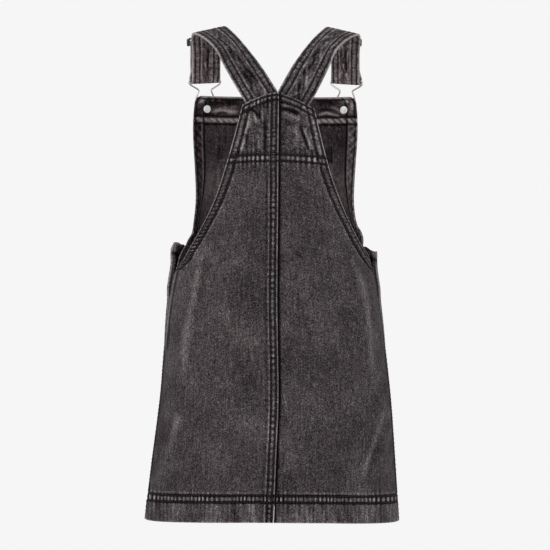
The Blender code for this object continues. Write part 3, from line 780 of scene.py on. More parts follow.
class Signal:
    """A value that varies over a surface. Sums with it add Math nodes."""

    def __init__(self, board: "Board", socket: bpy.types.NodeSocket) -> None:
        self.board = board
        self.socket = socket

    def _sum(self, operation: str, first: Any, second: Any) -> "Signal":
        made = self.board.node("ShaderNodeMath", {"operation": operation}, {0: first, 1: second})
        return Signal(self.board, made.outputs[0])

    def __add__(self, other: "Signal | float") -> "Signal":
        """Self plus other."""
        return self._sum("ADD", self, other)

    __radd__ = __add__

    def __sub__(self, other: "Signal | float") -> "Signal":
        """Self less other."""
        return self._sum("SUBTRACT", self, other)

    def __rsub__(self, other: float) -> "Signal":
        """Other less self."""
        return self._sum("SUBTRACT", other, self)

    def __mul__(self, other: "Signal | float") -> "Signal":
        """Self times other."""
        return self._sum("MULTIPLY", self, other)

    __rmul__ = __mul__

    def sine(self) -> "Signal":
        """The sine of self."""
        return self._sum("SINE", self, 0.0)

    def at_least(self, floor: float) -> "Signal":
        """Self, but never below floor."""
        return self._sum("MAXIMUM", self, floor)

    def kept_to_share(self) -> "Signal":
        """Self, but never below 0 nor above 1."""
        return self._sum("MINIMUM", self.at_least(0.0), 1.0)


class Board:
    """A material and its nodes."""

    def __init__(self, name: str) -> None:
        self.material = bpy.data.materials.new(name)
        self.material.use_nodes = True
        self.tree = self.material.node_tree
        self.shader = self.tree.nodes["Principled BSDF"]

    def node(self, kind: str, settings: dict[str, Any], sockets: dict[str | int, Any]) -> bpy.types.Node:
        """Add a node.

        Args:
            kind: the node's type.
            settings: its own settings, set first; "stops" are a ramp's places and colours.
            sockets: the value or the link of each named or numbered input.

        Returns:
            The node.
        """
        made = self.tree.nodes.new(kind)
        for label, value in settings.items():
            if label == "stops":
                for stop, (place, colour) in enumerate(value):
                    ramp = made.color_ramp.elements
                    spot = ramp[stop] if stop < len(ramp) else ramp.new(place)
                    spot.position = place
                    spot.color = (*colour, 1.0)
            else:
                setattr(made, label, value)
        for label, value in sockets.items():
            self.feed(made.inputs[label], value)
        return made

    def feed(self, socket: bpy.types.NodeSocket, value: Any) -> None:
        """Link a signal or a socket into a socket, or set it to a value."""
        if isinstance(value, Signal):
            value = value.socket
        if isinstance(value, bpy.types.NodeSocket):
            self.tree.links.new(value, socket)
        else:
            socket.default_value = value

    def attribute(self, name: str) -> Signal:
        """A value kept on the mesh's points."""
        return Signal(self, self.node("ShaderNodeAttribute", {"attribute_name": name}, {}).outputs["Fac"])

    def place(self) -> bpy.types.NodeSocket:
        """Where a point of the surface is."""
        return self.node("ShaderNodeTexCoord", {}, {}).outputs["Object"]

    def noise(self, vector: bpy.types.NodeSocket, scale: float, detail: float = 2.0, rough: float = 0.5) -> Signal:
        """A soft random value about 0, from -0.5 to 0.5."""
        sockets = {"Vector": vector, "Scale": scale, "Detail": detail, "Roughness": rough}
        return Signal(self, self.node("ShaderNodeTexNoise", {}, sockets).outputs["Fac"]) - 0.5

    def stretched(self, vector: bpy.types.NodeSocket, scale: tuple[float, float, float]) -> bpy.types.NodeSocket:
        """A place, scaled a different way along each axis."""
        return self.node("ShaderNodeVectorMath", {"operation": "MULTIPLY"}, {0: vector, 1: scale}).outputs[0]

    def mix(self, factor: Signal, first: Any, second: Any) -> bpy.types.NodeSocket:
        """A colour between two."""
        sockets = {0: factor, 6: first, 7: second}
        return self.node("ShaderNodeMix", {"data_type": "RGBA"}, sockets).outputs[2]

    def ramp(self, stops: Sequence[tuple[float, Colour]], tone: Signal) -> bpy.types.NodeSocket:
        """A colour from a scale of them."""
        return self.node("ShaderNodeValToRGB", {"stops": stops}, {"Fac": tone}).outputs["Color"]

    def bump(self, strength: float, distance: float, height: Signal) -> bpy.types.NodeSocket:
        """The surface's way out, made fine and uneven."""
        sockets = {"Strength": strength, "Distance": distance, "Height": height}
        return self.node("ShaderNodeBump", {}, sockets).outputs["Normal"]

    def finish(self, sockets: dict[str, Any]) -> bpy.types.Material:
        """Feed the shader's inputs and give the material."""
        for label, value in sockets.items():
            self.feed(self.shader.inputs[label], value)
        return self.material


@dataclass(frozen=True)
class WashedDenim:
    """Black denim, stone washed, with a fine diagonal twill: dark in the seams and grey on the ridges, partly rubbed
    that way and partly painted shade and light.
    """

    name: str
    grain: float = 1.25
    mottle: float = 0.28
    cloud: float = 0.36
    streak: float = 0.35
    brightness: float = 0.0
    twill_pitch: float = 0.95
    twill_way: tuple[float, float] = (0.80, 0.60)
    twill_tone: float = 0.04
    wear_and_shade_tone: float = 0.42
    streak_scale: tuple[float, float, float] = (520.0, 46.0, 1.0)
    roughness: float = 0.92
    stops: tuple[tuple[float, Colour], ...] = (
        (0.0, (0.0020, 0.0014, 0.0018)),
        (0.25, (0.0115, 0.0088, 0.0098)),
        (0.5, (0.0490, 0.0400, 0.0420)),
        (0.75, (0.1270, 0.1120, 0.1150)),
        (1.0, (0.3400, 0.3180, 0.3150)),
    )
    inside_stops: tuple[tuple[float, Colour], ...] = (
        (0.0, (0.0025, 0.0015, 0.0022)),
        (0.25, (0.0170, 0.0115, 0.0140)),
        (0.5, (0.0620, 0.0470, 0.0520)),
        (0.75, (0.1400, 0.1150, 0.1180)),
        (1.0, (0.3400, 0.3000, 0.2900)),
    )

    def material(self) -> bpy.types.Material:
        """Build the finish."""
        board = Board(self.name)
        uv = board.node("ShaderNodeUVMap", {"uv_map": "weave"}, {}).outputs["UV"]
        place = board.place()
        split = board.node("ShaderNodeSeparateXYZ", {}, {"Vector": uv})
        across, down = (Signal(board, split.outputs[axis]) for axis in ("X", "Y"))
        across_rate, down_rate = (2.0 * math.pi * share / (self.twill_pitch * MM) for share in self.twill_way)
        wobble = board.noise(uv, 160.0, 1.0) * 2.4
        twill = (across * across_rate + down * down_rate + wobble).sine()
        speckle = board.noise(place, 760.0, 2.0, 0.6)
        patch = board.noise(place, 210.0, 2.0, 0.55)
        cloud = board.noise(place, 26.0, 2.0, 0.5)
        streak = board.noise(board.stretched(uv, self.streak_scale), 1.0, 2.0)
        # the mesh's wear scale sets most of the tone; it carries painted shade and light as well as wear
        tone = board.attribute("wear_and_shade") * self.wear_and_shade_tone + twill * self.twill_tone + (0.5 + self.brightness)
        tone = tone + speckle * self.grain + patch * self.mottle + cloud * self.cloud + streak * self.streak
        outside, inside = (board.ramp(stops, tone) for stops in (self.stops, self.inside_stops))
        return board.finish(
            {
                "Base Color": board.mix(board.attribute("inside"), outside, inside),
                "Roughness": self.roughness,
                "Specular IOR Level": 0.05,
                "Sheen Weight": 0.02,
                "Sheen Roughness": 0.5,
                "Normal": board.bump(0.55, 0.00022, twill * 0.30 + speckle * 0.9 + streak * 0.3),
            }
        )


@dataclass(frozen=True)
class SewingThread:
    """Spun thread with a fine twist."""

    name: str
    colour: Colour
    roughness: float = 0.8

    def material(self) -> bpy.types.Material:
        """Build the finish."""
        board = Board(self.name)
        fibre = board.noise(board.place(), 2600.0, 2.0)
        dark, light = ((*(share * part for part in self.colour), 1.0) for share in (0.55, 1.6))
        return board.finish(
            {
                "Base Color": board.mix((fibre * 1.5 + 0.5).kept_to_share(), dark, light),
                "Roughness": self.roughness,
                "Normal": board.bump(0.4, 0.0001, fibre),
            }
        )


@dataclass(frozen=True)
class NickelPlate:
    """Bright nickel plate on steel wire and stampings, with fine scuffs."""

    name: str
    colour: Colour = (0.66, 0.65, 0.63)
    roughness: float = 0.24
    metallic: float = 1.0

    def material(self) -> bpy.types.Material:
        """Build the finish."""
        board = Board(self.name)
        place = board.place()
        scuff = board.noise(board.stretched(place, (900.0, 900.0, 260.0)), 1.0, 3.0, 0.6)
        haze = board.noise(place, 240.0, 2.0)
        bright, dull = ((*(share * part for part in self.colour), 1.0) for share in (1.0, 0.8))
        return board.finish(
            {
                "Base Color": board.mix((haze * 1.4 + 0.45).kept_to_share(), bright, dull),
                "Metallic": self.metallic,
                "Roughness": (scuff * 0.30 + self.roughness).at_least(0.08),
                "Normal": board.bump(0.15, 0.00006, scuff),
            }
        )


class Edge(NamedTuple):
    """One edge of a piece: its course, and how far from it close rows or columns of the grid lie."""

    course: Callable[[Array], Array]
    places: Sequence[float]


@dataclass(frozen=True)
class Patch:
    """A piece's outline on the figure, and how finely its grid is ruled."""

    face: Face
    top: Edge
    foot: Edge
    left: Edge
    right: Edge
    rows: int
    columns: int
    raised: Callable[[Array, Array], Array] | None = None
    slanted: bool = True

    def height(self, x: Array) -> Array:
        """The heights of all rows, one for each X."""
        near, far = np.array(self.top.places), np.array(self.foot.places)
        even = np.linspace(0.0, 1.0, self.rows + 2)[1:-1]
        share = np.concatenate([np.zeros(len(near)), even, np.ones(len(far))])[:, None]
        from_top = np.concatenate([near, np.full(self.rows + len(far), near[-1])])[:, None]
        past = np.concatenate([np.zeros(len(near) + self.rows), far[-1] - far[::-1]])[:, None]
        top, foot = self.top.course(x), self.foot.course(x)
        top_run, foot_run = self.slope(self.top, x), self.slope(self.foot, x)
        span = top - foot - near[-1] * top_run - far[-1] * foot_run
        return top - from_top * top_run - share * span - past * foot_run

    @staticmethod
    def slope(edge: Edge, x: Array) -> Array:
        """How much longer a way straight down is than one square to a slanting edge."""
        return np.hypot(1.0, (edge.course(x + 1.0) - edge.course(x - 1.0)) / 2.0)

    def side(self, figure: Figure, edge: Edge) -> tuple[Array, Array]:
        """A side edge's arc length on every row, and how much longer a level way is than one square to it."""
        x = np.zeros((len(self.top.places) + self.rows + len(self.foot.places), 1))
        for _ in range(6):
            z = self.height(x)
            arc = edge.course(z)
            x = figure.flat(self.face, z, arc)[..., 0]
        run = np.ones_like(arc)
        if self.slanted:
            run = np.hypot(1.0, np.gradient(arc[:, 0], z[:, 0]))[:, None].clip(1.0, 1.5)
        return arc, run

    def rule(self, figure: Figure) -> Grid:
        """Rule the grid."""
        left, left_run = self.side(figure, self.left)
        right, right_run = self.side(figure, self.right)
        near = left + np.array(self.left.places) * left_run
        far = right - np.array(self.right.places)[::-1] * right_run
        arc = spread(near, far, self.columns)
        x = arc
        for _ in range(3):
            z = self.height(x)
            x = figure.flat(self.face, z, arc)[..., 0]
        out = figure.outward(self.face, z, arc)
        lift = figure.folds(self.face, z, arc)
        if self.raised:
            lift = lift + self.raised(z, arc)
        return Grid(
            base=figure.flat(self.face, z, arc) + out * lift[..., None],
            out=out,
            left=(arc - left) / left_run,
            right=(right - arc) / right_run,
            top=(self.top.course(x) - z) / self.slope(self.top, x),
            foot=(z - self.foot.course(x)) / self.slope(self.foot, x),
            weave=np.stack([arc, -z], axis=-1),
        )


def hem_course(x: Array) -> Array:
    """The height of the hem's foot: it hangs a little lower at the sides."""
    return HEM + HEM_RISE - HEM_SAG * (x / HEM_HALF_WIDTH) ** 2


def yoke_seam_course(x: Array) -> Array:
    """The height of the bowed seam under the yoke."""
    return YOKE_SEAM - YOKE_BOW * (x / YOKE_REACH) ** 2


def yoke_top_course(x: Array) -> Array:
    """The height of the yoke's top edge, a low peak at the centre back."""
    return YOKE_PEAK - YOKE_SLOPE * np.abs(x) - YOKE_CURVE * x * x


def mouth_lift(figure: Figure, z: Array, arc: Array) -> Array:
    """How far the front stands off beside a hip pocket's mouth."""
    edge = figure.lengths(Face.FRONT, z) - np.maximum(smooth(MOUTH, "from_seam", z), 0.0)
    gape = np.maximum(smooth(MOUTH, "gape", z), 0.0)
    lift = gape * bell(edge - np.abs(arc), 0.0, smooth(MOUTH, "reach", z))
    return np.where((z > MOUTH[0].z) | (z < MOUTH_FOOT), 0.0, lift)


@dataclass
class Back:
    """The yoke and the two back panels. The left side laps over the right in a seam down the middle."""

    figure: Figure
    panel_finish: bpy.types.Material
    yoke_finish: bpy.types.Material
    stitching: Stitching
    seam_turn: float = 10.2
    lap: float = 8.5
    lap_set: float = 2.2
    lap_lines: tuple[float, float] = (2.4, 7.4)
    armhole_hem: float = 9.0
    armhole_lines: tuple[float, float] = (2.0, 8.8)
    seam_lines: tuple[float, float] = (2.6, 9.3)
    yoke_top_hem: float = 7.5
    yoke_top_lines: tuple[float, float] = (2.0, 7.4)
    hem_turn: float = 29.5
    hem_lines: tuple[float, float] = (21.5, 28.4)
    phases: tuple[float, float] = (2.3, 5.9)
    yoke_grid: tuple[int, int] = (40, 34)
    panel_grid: tuple[int, int] = (276, 88)
    armhole_close: float = 10.6
    lap_close: float = 11.2
    yoke_top_close: float = 8.9
    yoke_foot_close: float = 3.0
    seam_close: float = 11.0
    hem_close: float = 31.0
    armhole_pucker: Pucker = Pucker(0.3, 4.5)
    yoke_lap_pucker: Pucker = Pucker(0.3, 4.5, 0.7)
    panel_lap_pucker: Pucker = Pucker(0.3, 6.3, 0.75)
    yoke_top_pucker: Pucker = Pucker(0.36, 4.1)
    yoke_foot_pucker: Pucker = Pucker(0.45, 4.9)
    seam_pucker: Pucker = Pucker(0.5, 4.9, 1.15)
    below_seam_pucker: Pucker = Pucker(0.35, 4.9)
    hem_pucker: Pucker = Pucker(0.34, 4.25, 1.7)
    above_hem_pucker: Pucker = Pucker(0.35, 3.1)
    below_hem_pucker: Pucker = Pucker(0.3, 4.25)
    yoke_creases: tuple[Crease, ...] = (
        Crease(((3.5, -91.0), (12.0, -92.6), (26.0, -97.5)), -1.0, 1.7, -1.25),
        Crease(((3.0, -88.0), (18.0, -89.5), (31.0, -97.0)), 0.5, 1.5, 0.5),
        Crease(((5.0, -97.5), (17.0, -99.0), (27.0, -104.0)), 0.8, 2.6, 0.6),
        Crease(((25.5, -109.0), (30.0, -120.0), (36.5, -138.0)), -1.0, 1.5, -1.2),
        Crease(((28.5, -110.0), (33.5, -122.0), (39.5, -138.0)), 1.0, 1.7, 0.9),
        Crease(((23.0, -104.0), (22.5, -115.0), (25.0, -128.0)), 0.7, 2.8, 0.5),
        Crease(((-30.5, -92.5), (-24.0, -93.5), (-20.5, -96.5), (-18.5, -101.0)), -0.9, 1.4, -1.2),
        Crease(((-23.5, -96.0), (-21.5, -101.0), (-20.0, -108.0)), 0.9, 1.3, 0.9),
        Crease(((-28.5, -97.0), (-27.0, -106.0), (-32.0, -122.0)), 0.8, 2.4, 0.7),
        Crease(((-17.0, -93.0), (-16.5, -104.0)), -0.8, 1.1, -0.8),
        Crease(((-14.0, -95.0), (-13.5, -107.0)), 0.8, 1.2, 0.7),
        Crease(((-10.6, -98.0), (-10.9, -118.0), (-11.4, -138.0)), -0.9, 1.3, -0.9),
        Crease(((-7.9, -90.0), (-8.2, -115.0), (-8.4, -138.0)), 0.7, 0.9, 0.7),
        Crease(((-32.5, -124.0), (-34.0, -131.0), (-35.5, -138.0)), 0.8, 1.8, 0.75),
        Crease(((-27.0, -110.0), (-30.0, -124.0), (-31.0, -138.0)), -0.6, 1.5, -0.8),
        Crease(((-14.0, -116.0), (-17.0, -130.0), (-16.0, -138.0)), 0.5, 1.8, 0.3),
        Crease(((12.0, -108.0), (10.0, -124.0), (11.0, -137.0)), -0.5, 2.4, -0.3),
    )
    panel_creases: tuple[Crease, ...] = (
        Crease(((-75.8, -236.0), (-81.7, -272.0), (-87.0, -303.0), (-92.8, -332.0), (-95.9, -381.0)), 0.6, 3.8, 0.44),
        Crease(((-70.0, -240.0), (-76.0, -272.0), (-81.0, -300.0)), -0.4, 3.0, -0.12),
        Crease(((-98.6, -410.0), (-105.3, -441.0), (-113.4, -464.0)), 0.6, 3.8, 0.4),
        Crease(((80.2, -242.0), (88.7, -265.0), (97.1, -291.0), (100.3, -318.0), (105.2, -378.0)), 0.6, 3.2, 0.42),
        Crease(((74.0, -246.0), (82.0, -270.0), (89.0, -296.0)), -0.4, 2.6, -0.14),
        Crease(((120.4, -405.0), (107.7, -444.0), (101.4, -459.0), (94.0, -489.0)), 0.7, 3.0, 0.46),
        Crease(((113.0, -440.0), (104.0, -468.0), (98.0, -492.0)), -0.5, 3.0, -0.22),
        Crease(((-112.0, -420.0), (-121.0, -455.0), (-126.0, -490.0)), -0.5, 4.0, -0.18),
        Crease(((60.0, -150.0), (72.0, -186.0), (76.0, -205.0)), 0.4, 3.0, 0.14),
    )

    def armhole(self, side: Side) -> Callable[[Array], Array]:
        """The course of one side's outer edge: the armhole, then the side seam."""

        def course(z: Array) -> Array:
            arcs = self.figure.arcs_at(Face.BACK, z, smooth(BACK_ARMHOLE, side.value, z))
            full = self.figure.lengths(Face.BACK, z) - SEAM_GAP / 2.0
            return side.way * np.where(z > BACK_FOOT, np.minimum(arcs, full), full)

        return course

    def fold(self, side: Side) -> Callable[[Array], Array]:
        """The course of the lapped seam's fold."""
        return lambda z: smooth(SECTIONS, "lap", z) - self.lap_set + side.way * SEAM_GAP / 2.0

    def patch(self, side: Side, yoke: bool) -> Patch:
        """The outline of one side of the yoke or one panel."""
        outer = Edge(self.armhole(side), close_places(self.armhole_lines, self.armhole_close))
        lap = Edge(self.fold(side), close_places(self.lap_lines if side is Side.LEFT else (), self.lap_close))
        left, right = (outer, lap) if side is Side.LEFT else (lap, outer)
        if yoke:
            top = Edge(yoke_top_course, close_places(self.yoke_top_lines, self.yoke_top_close))
            foot = Edge(lambda x: yoke_seam_course(x) + SEAM_GAP, close_places((1.2,), self.yoke_foot_close))
            return Patch(Face.BACK, top, foot, left, right, *self.yoke_grid)
        top = Edge(yoke_seam_course, close_places(self.seam_lines, self.seam_close))
        foot = Edge(hem_course, close_places(self.hem_lines, self.hem_close))
        return Patch(Face.BACK, top, foot, left, right, *self.panel_grid)

    def relief(self, grid: Grid, side: Side, yoke: bool) -> Relief:
        """The outer side: its doubled edges, its seams, its creases, where it is rubbed and where shade is painted on
        it.
        """
        phase = self.phases[side.number]
        top_turn = self.yoke_top_hem if yoke else self.seam_turn
        layers = np.maximum(doubled(grid.edge(side), self.armhole_hem), doubled(grid.top, top_turn))
        if side is Side.LEFT:
            layers = np.maximum(layers, doubled(grid.edge(side.other), self.lap))
        if not yoke:
            layers = np.maximum(layers, doubled(grid.foot, self.hem_turn))
        relief = Relief(CLOTH * (1.0 + layers))
        self.mark_armhole(relief, grid, side, phase)
        self.mark_side_seam(relief, grid, side, phase)
        self.mark_lap(relief, grid, side, yoke, phase)
        if yoke:
            self.mark_yoke(relief, grid, side, phase)
        else:
            self.mark_seam(relief, grid)
            self.mark_hem(relief, grid, phase)
            relief.crease(grid.x, grid.z, self.panel_creases)
        return relief

    def mark_armhole(self, relief: Relief, grid: Grid, side: Side, phase: float) -> None:
        """The armhole's hem, its puckers coloured most low down on the left, partly rubbed and partly painted light
        and shade.
        """
        outer, along = grid.edge(side), grid.along(side)
        above = ease(grid.z, BACK_FOOT - 3.0, BACK_FOOT + 3.0)
        low = ease(-grid.z, 170.0, 225.0) * above
        hem = Relief.level(outer)
        hem.grooves(outer, self.armhole_lines)
        relief.lay(hem, share=above)
        rub_and_shade = (0.35 + 1.2 * low) if side is Side.LEFT else (0.25 + 0.4 * low)
        relief.ladder(along, outer, self.armhole_lines, self.armhole_pucker, phase, rub_and_shade)
        if side is Side.LEFT:
            relief.wear_and_shade -= 0.45 * low * bell(outer, 5.4, 2.6)
        relief.worn_edge(along, outer, 2.7, 1.1)
        relief.ridge(outer, self.armhole_hem + 2.6, 0.3, 1.2, 0.3)

    def mark_side_seam(self, relief: Relief, grid: Grid, side: Side, phase: float) -> None:
        """The side seam: beside the left pocket's mouth a light line for the front's edge and a painted shadow for the
        gap past it; lower down an uneven darkening, and painted shade at the very edge, where the skirt turns away.
        """
        inset = smooth(SECTIONS, "half_width", grid.z) - np.abs(grid.x - smooth(SECTIONS, "lean", grid.z))
        if side is Side.LEFT:
            beside = window(-grid.z, 262.0, 270.0, 338.0, 356.0)
            # a light line for the front's edge, then painted shadow for the dark gap into the pocket's mouth
            relief.wear_and_shade += beside * (0.55 * bell(inset, 1.1, 0.8) - 0.8 * bell(inset, 3.1, 1.0))
        blotch = ripple(grid.z + 1.9 * inset, 23.0, phase) + 0.6 * ripple(grid.z - 2.3 * inset, 37.0, phase + 1.0)
        relief.wear_and_shade += ease(-grid.z, 350.0, 400.0) * fall(inset, 3.0, 9.0) * (0.14 * blotch - 0.1)
        # painted shade at the very edge, where the skirt turns away
        relief.wear_and_shade -= 0.4 * ease(-grid.z, 340.0, 365.0) * fall(inset, 0.4, 2.2)

    def mark_lap(self, relief: Relief, grid: Grid, side: Side, yoke: bool, phase: float) -> None:
        """The seam down the middle: two rows on the left side's lap, painted shade in a trough past them, and the
        painted shadow that the lap throws on the right side's edge.
        """
        lap, along = grid.edge(side.other), grid.along(side.other)
        if side is Side.RIGHT:
            # painted shadow that the left side's lap throws on the right side's edge, in a shallow dip
            relief.ridge(lap, 0.0, -0.5, 2.1, -1.9)
            return
        relief.grooves(lap, self.lap_lines)
        pucker = self.yoke_lap_pucker if yoke else self.panel_lap_pucker
        relief.ladder(along, lap, self.lap_lines, pucker, phase + 1.0)
        relief.wear_and_shade += 0.25 * bell(lap, 4.9, 1.8)
        relief.worn_edge(along, lap, 1.5, 1.0)
        relief.ridge(lap, self.lap + 0.9, 0.3, 0.9, 0.55)
        # a shallow trough past the lap, darkened with painted shade
        relief.ridge(lap, self.lap + 3.4, -0.3, 1.2, -0.7 if yoke else -0.35)

    def mark_yoke(self, relief: Relief, grid: Grid, side: Side, phase: float) -> None:
        """The yoke's top hem, its creases, and the puckers over the seam at its foot."""
        relief.grooves(grid.top, self.yoke_top_lines)
        rub_and_shade = 0.9 * window(-grid.x, 4.0, 14.0, 24.0, 30.0) + 0.2
        relief.ladder(grid.x, grid.top, self.yoke_top_lines, self.yoke_top_pucker, phase + 2.0, rub_and_shade)
        relief.worn_edge(grid.x, grid.top, 1.9, 1.0)
        relief.pucker_past(grid.x, grid.foot, 0.2, 6.0, self.yoke_foot_pucker, SEAM_PHASE)
        relief.crease(grid.x, grid.z, self.yoke_creases)
        outer = grid.edge(side)
        band = (0.6 if side is Side.LEFT else 1.0) * bell(outer, 5.4, 2.2)
        relief.wear_and_shade += 0.5 * np.maximum(band, bell(grid.top, 4.6, 1.9) * (outer > 4.0))

    def mark_seam(self, relief: Relief, grid: Grid) -> None:
        """The panel's top seam."""
        relief.grooves(grid.top, self.seam_lines)
        relief.ladder(grid.x, grid.top, self.seam_lines, self.seam_pucker, SEAM_PHASE)
        uneven = ripple(grid.x, self.seam_pucker.spacing, SEAM_PHASE)
        relief.wear_and_shade += bell(grid.top, 0.0, 1.0) * (0.5 * uneven - 0.35)
        relief.wear_and_shade += bell(grid.top, 6.0, 2.0) * 0.25
        relief.pucker_past(grid.x, grid.top, 10.4, 6.0, self.below_seam_pucker, SEAM_PHASE)
        relief.wear_and_shade += 0.3 * bell(grid.top, 11.2, 1.2)

    def mark_hem(self, relief: Relief, grid: Grid, phase: float) -> None:
        """The hem: its two rows, the puckers past them, and the blotched band below."""
        lower = self.hem_lines[0]
        relief.grooves(grid.foot, self.hem_lines)
        relief.ladder(grid.x, grid.foot, self.hem_lines, self.hem_pucker, phase + 4.0)
        # the hem's rows darker still: partly unrubbed cloth, partly painted shade in their grooves
        for line in self.hem_lines:
            relief.wear_and_shade -= 0.6 * bell(grid.foot, line, 1.3)
        relief.worn_edge(grid.x, grid.foot)
        relief.pucker_past(grid.x, grid.foot, 30.2, 3.0, self.above_hem_pucker, phase + 5.0)
        relief.wear_and_shade += 0.4 * bell(grid.foot, 31.3, 1.2)
        relief.pucker_past(grid.x, lower - grid.foot, 1.2, 5.0, self.below_hem_pucker, phase + 4.0)
        band = fall(grid.foot, lower - 2.0, lower)
        blotch = 0.16 * ripple(grid.x + 0.3 * grid.z, 12.0, phase + 2.0) + 0.24 * ripple(grid.x, 33.0, phase)
        relief.wear_and_shade += band * (0.14 + 0.2 * ripple(grid.x, 4.7, phase) + blotch)
        relief.lift += band * 0.25 * ripple(grid.x, 12.0, phase + 2.0)

    def build(self) -> None:
        """Make the yoke and the panels, and sew them."""
        for side in Side:
            for part, yoke in (("yoke", True), ("panel", False)):
                grid = self.patch(side, yoke).rule(self.figure)
                cloth = Cloth(grid, self.relief(grid, side, yoke), Relief.level(grid.left))
                name = f"back_{part}_{side.value}"
                cloth.sew(f"{name}_cloth", self.yoke_finish if yoke else self.panel_finish, False, name)
                self.stitch(cloth, side, yoke)

    def stitch(self, cloth: Cloth, side: Side, yoke: bool) -> None:
        """Sew one side's rows of stitches."""
        self.stitching.rows(cloth, (side.value,), self.armhole_lines, 0.4, above=BACK_FOOT + 3.0)
        if side is Side.LEFT:
            self.stitching.rows(cloth, (side.other.value,), self.lap_lines, 0.4)
        self.stitching.rows(cloth, ("top",), self.yoke_top_lines if yoke else self.seam_lines, 1.0, 1.0)
        if not yoke:
            self.stitching.rows(cloth, ("foot",), self.hem_lines, 1.0, 1.0)


@dataclass
class Front:
    """The bib with its patch pocket, the front skirt and the two hip pockets."""

    figure: Figure
    bib_finish: bpy.types.Material
    skirt_finish: bpy.types.Material
    stitching: Stitching
    navy: Stitching
    grey: Stitching
    facing: float = 30.0
    facing_lines: tuple[float, float] = (3.0, 22.5)
    side_hem: float = 14.0
    side_hem_lines: tuple[float, float] = (2.0, 12.6)
    corner: float = 8.0
    pocket_half: float = 65.0
    pocket_top: float = -125.0
    pocket_foot: float = -207.0
    pocket_hem: float = 13.0
    pocket_top_lines: tuple[float, float] = (2.0, 11.4)
    pocket_lines: tuple[float, float] = (2.0, 8.2)
    pocket_rows_top: float = -144.0
    mouth_hem: float = 9.0
    mouth_lines: tuple[float, float] = (1.8, 8.0)
    waist_turn: float = 9.5
    waist_lines: tuple[float, float] = (1.6, 8.2)
    waist_close: float = 11.0
    hem_turn: float = 29.5
    hem_lines: tuple[float, float] = (21.5, 28.4)
    hem_close: float = 31.0
    hip_reach: float = 78.0
    hip_lines: tuple[float, float] = (1.8, 8.0)
    hip_start: float = 0.15
    underlay: float = 1.6
    bag_foot: float = -378.0
    bag_corner: float = 14.0
    bag_corner_from: float = 56.0
    bib_grid: tuple[int, int] = (84, 110)
    pocket_grid: tuple[int, int] = (36, 60)
    skirt_grid: tuple[int, int] = (160, 150)
    facing_pucker: Pucker = Pucker(0.5, 7.3, 0.9)
    pocket_pucker: Pucker = Pucker(0.3, 4.4)
    pocket_top_pucker: Pucker = Pucker(0.25, 4.8)
    mouth_pucker: Pucker = Pucker(0.3, 4.4)
    waist_pucker: Pucker = Pucker(0.4, 4.8)
    hem_pucker: Pucker = Pucker(0.34, 4.4)
    hip_pucker: Pucker = Pucker(0.22, 4.4)
    bartacks: tuple[BarTack, ...] = (BarTack(-65.0, -57.6, -123.5, -141.0), BarTack(56.8, 64.2, -126.0, -144.5))
    facing_creases: tuple[Crease, ...] = (
        Crease(((-74.0, -88.5), (-62.0, -86.0), (-50.0, -87.5), (-38.0, -88.0)), 0.5, 2.9, 1.5),
        Crease(((-66.0, -90.0), (-58.0, -88.0), (-53.0, -89.5)), -0.3, 1.1, -1.0),
        Crease(((-85.0, -79.0), (-80.0, -75.0)), 0.3, 2.0, 1.3),
        Crease(((-69.6, -73.8), (-69.6, -76.2)), 0.3, 1.3, 1.6),
        Crease(((-62.8, -74.0), (-62.6, -76.4)), 0.3, 1.3, 1.3),
        Crease(((84.6, -76.0), (84.8, -84.0), (84.2, -92.0)), 0.3, 2.4, 1.0),
        Crease(((73.0, -76.5), (82.0, -75.5)), 0.3, 1.7, 1.0),
        Crease(((-60.0, -83.0), (-40.0, -82.0)), 0.3, 1.4, 0.6),
        Crease(((-78.0, -77.5), (-58.0, -77.0), (-38.0, -77.0)), -0.5, 3.0, -0.55),
        Crease(((-80.0, -90.5), (-66.0, -91.0)), -0.4, 1.6, -0.5),
        Crease(((45.0, -92.0), (56.0, -88.0), (66.0, -90.5), (77.0, -95.0)), 0.6, 1.5, 1.4),
        Crease(((60.0, -80.5), (70.0, -85.0), (79.0, -92.0)), 0.5, 1.8, 0.9),
        Crease(((44.0, -77.0), (56.0, -76.5), (68.0, -78.0)), -0.5, 3.2, -0.6),
        Crease(((46.0, -86.0), (56.0, -84.0), (64.0, -86.0)), -0.4, 1.6, -0.6),
        Crease(((62.0, -92.5), (70.0, -96.0)), -0.4, 1.2, -0.5),
    )

    def bib_edge(self, z: Array, side: Side) -> Array:
        """The arc length of one of the bib's side edges, with its rounded top corner."""
        into = np.clip(self.corner - (BIB_TOP - z), 0.0, self.corner)
        inset = self.corner - np.sqrt(self.corner**2 - into**2)
        arcs = self.figure.arcs_at(Face.FRONT, z, smooth(FRONT_ARMHOLE, side.value, z))
        return np.minimum(arcs, self.figure.lengths(Face.FRONT, z) - 1.0) - inset

    def mouth_edge(self, z: Array, _side: Side) -> Array:
        """The arc length of the skirt's side edge: the pocket's mouth, then the side seam."""
        return self.figure.lengths(Face.FRONT, z) - np.maximum(smooth(MOUTH, "from_seam", z), SEAM_GAP / 2.0)

    def waist_course(self, x: Array) -> Array:
        """The height of the skirt's top edge: its left corner stands up, its right one is turned down."""
        left = 5.0 * ease(-x, 95.7, 97.0) - 2.4 * ease(-x, 98.2, 99.3)
        return WAIST_SEAM - 0.25 + left + 1.8 * ease(x, 92.0, 95.0) - 5.4 * ease(x, 96.0, 99.3)

    def pocket_edge(self, z: Array, _side: Side) -> Array:
        """The arc length of the bib pocket's side edge."""
        return self.figure.arcs_at(Face.FRONT, z, self.pocket_half)

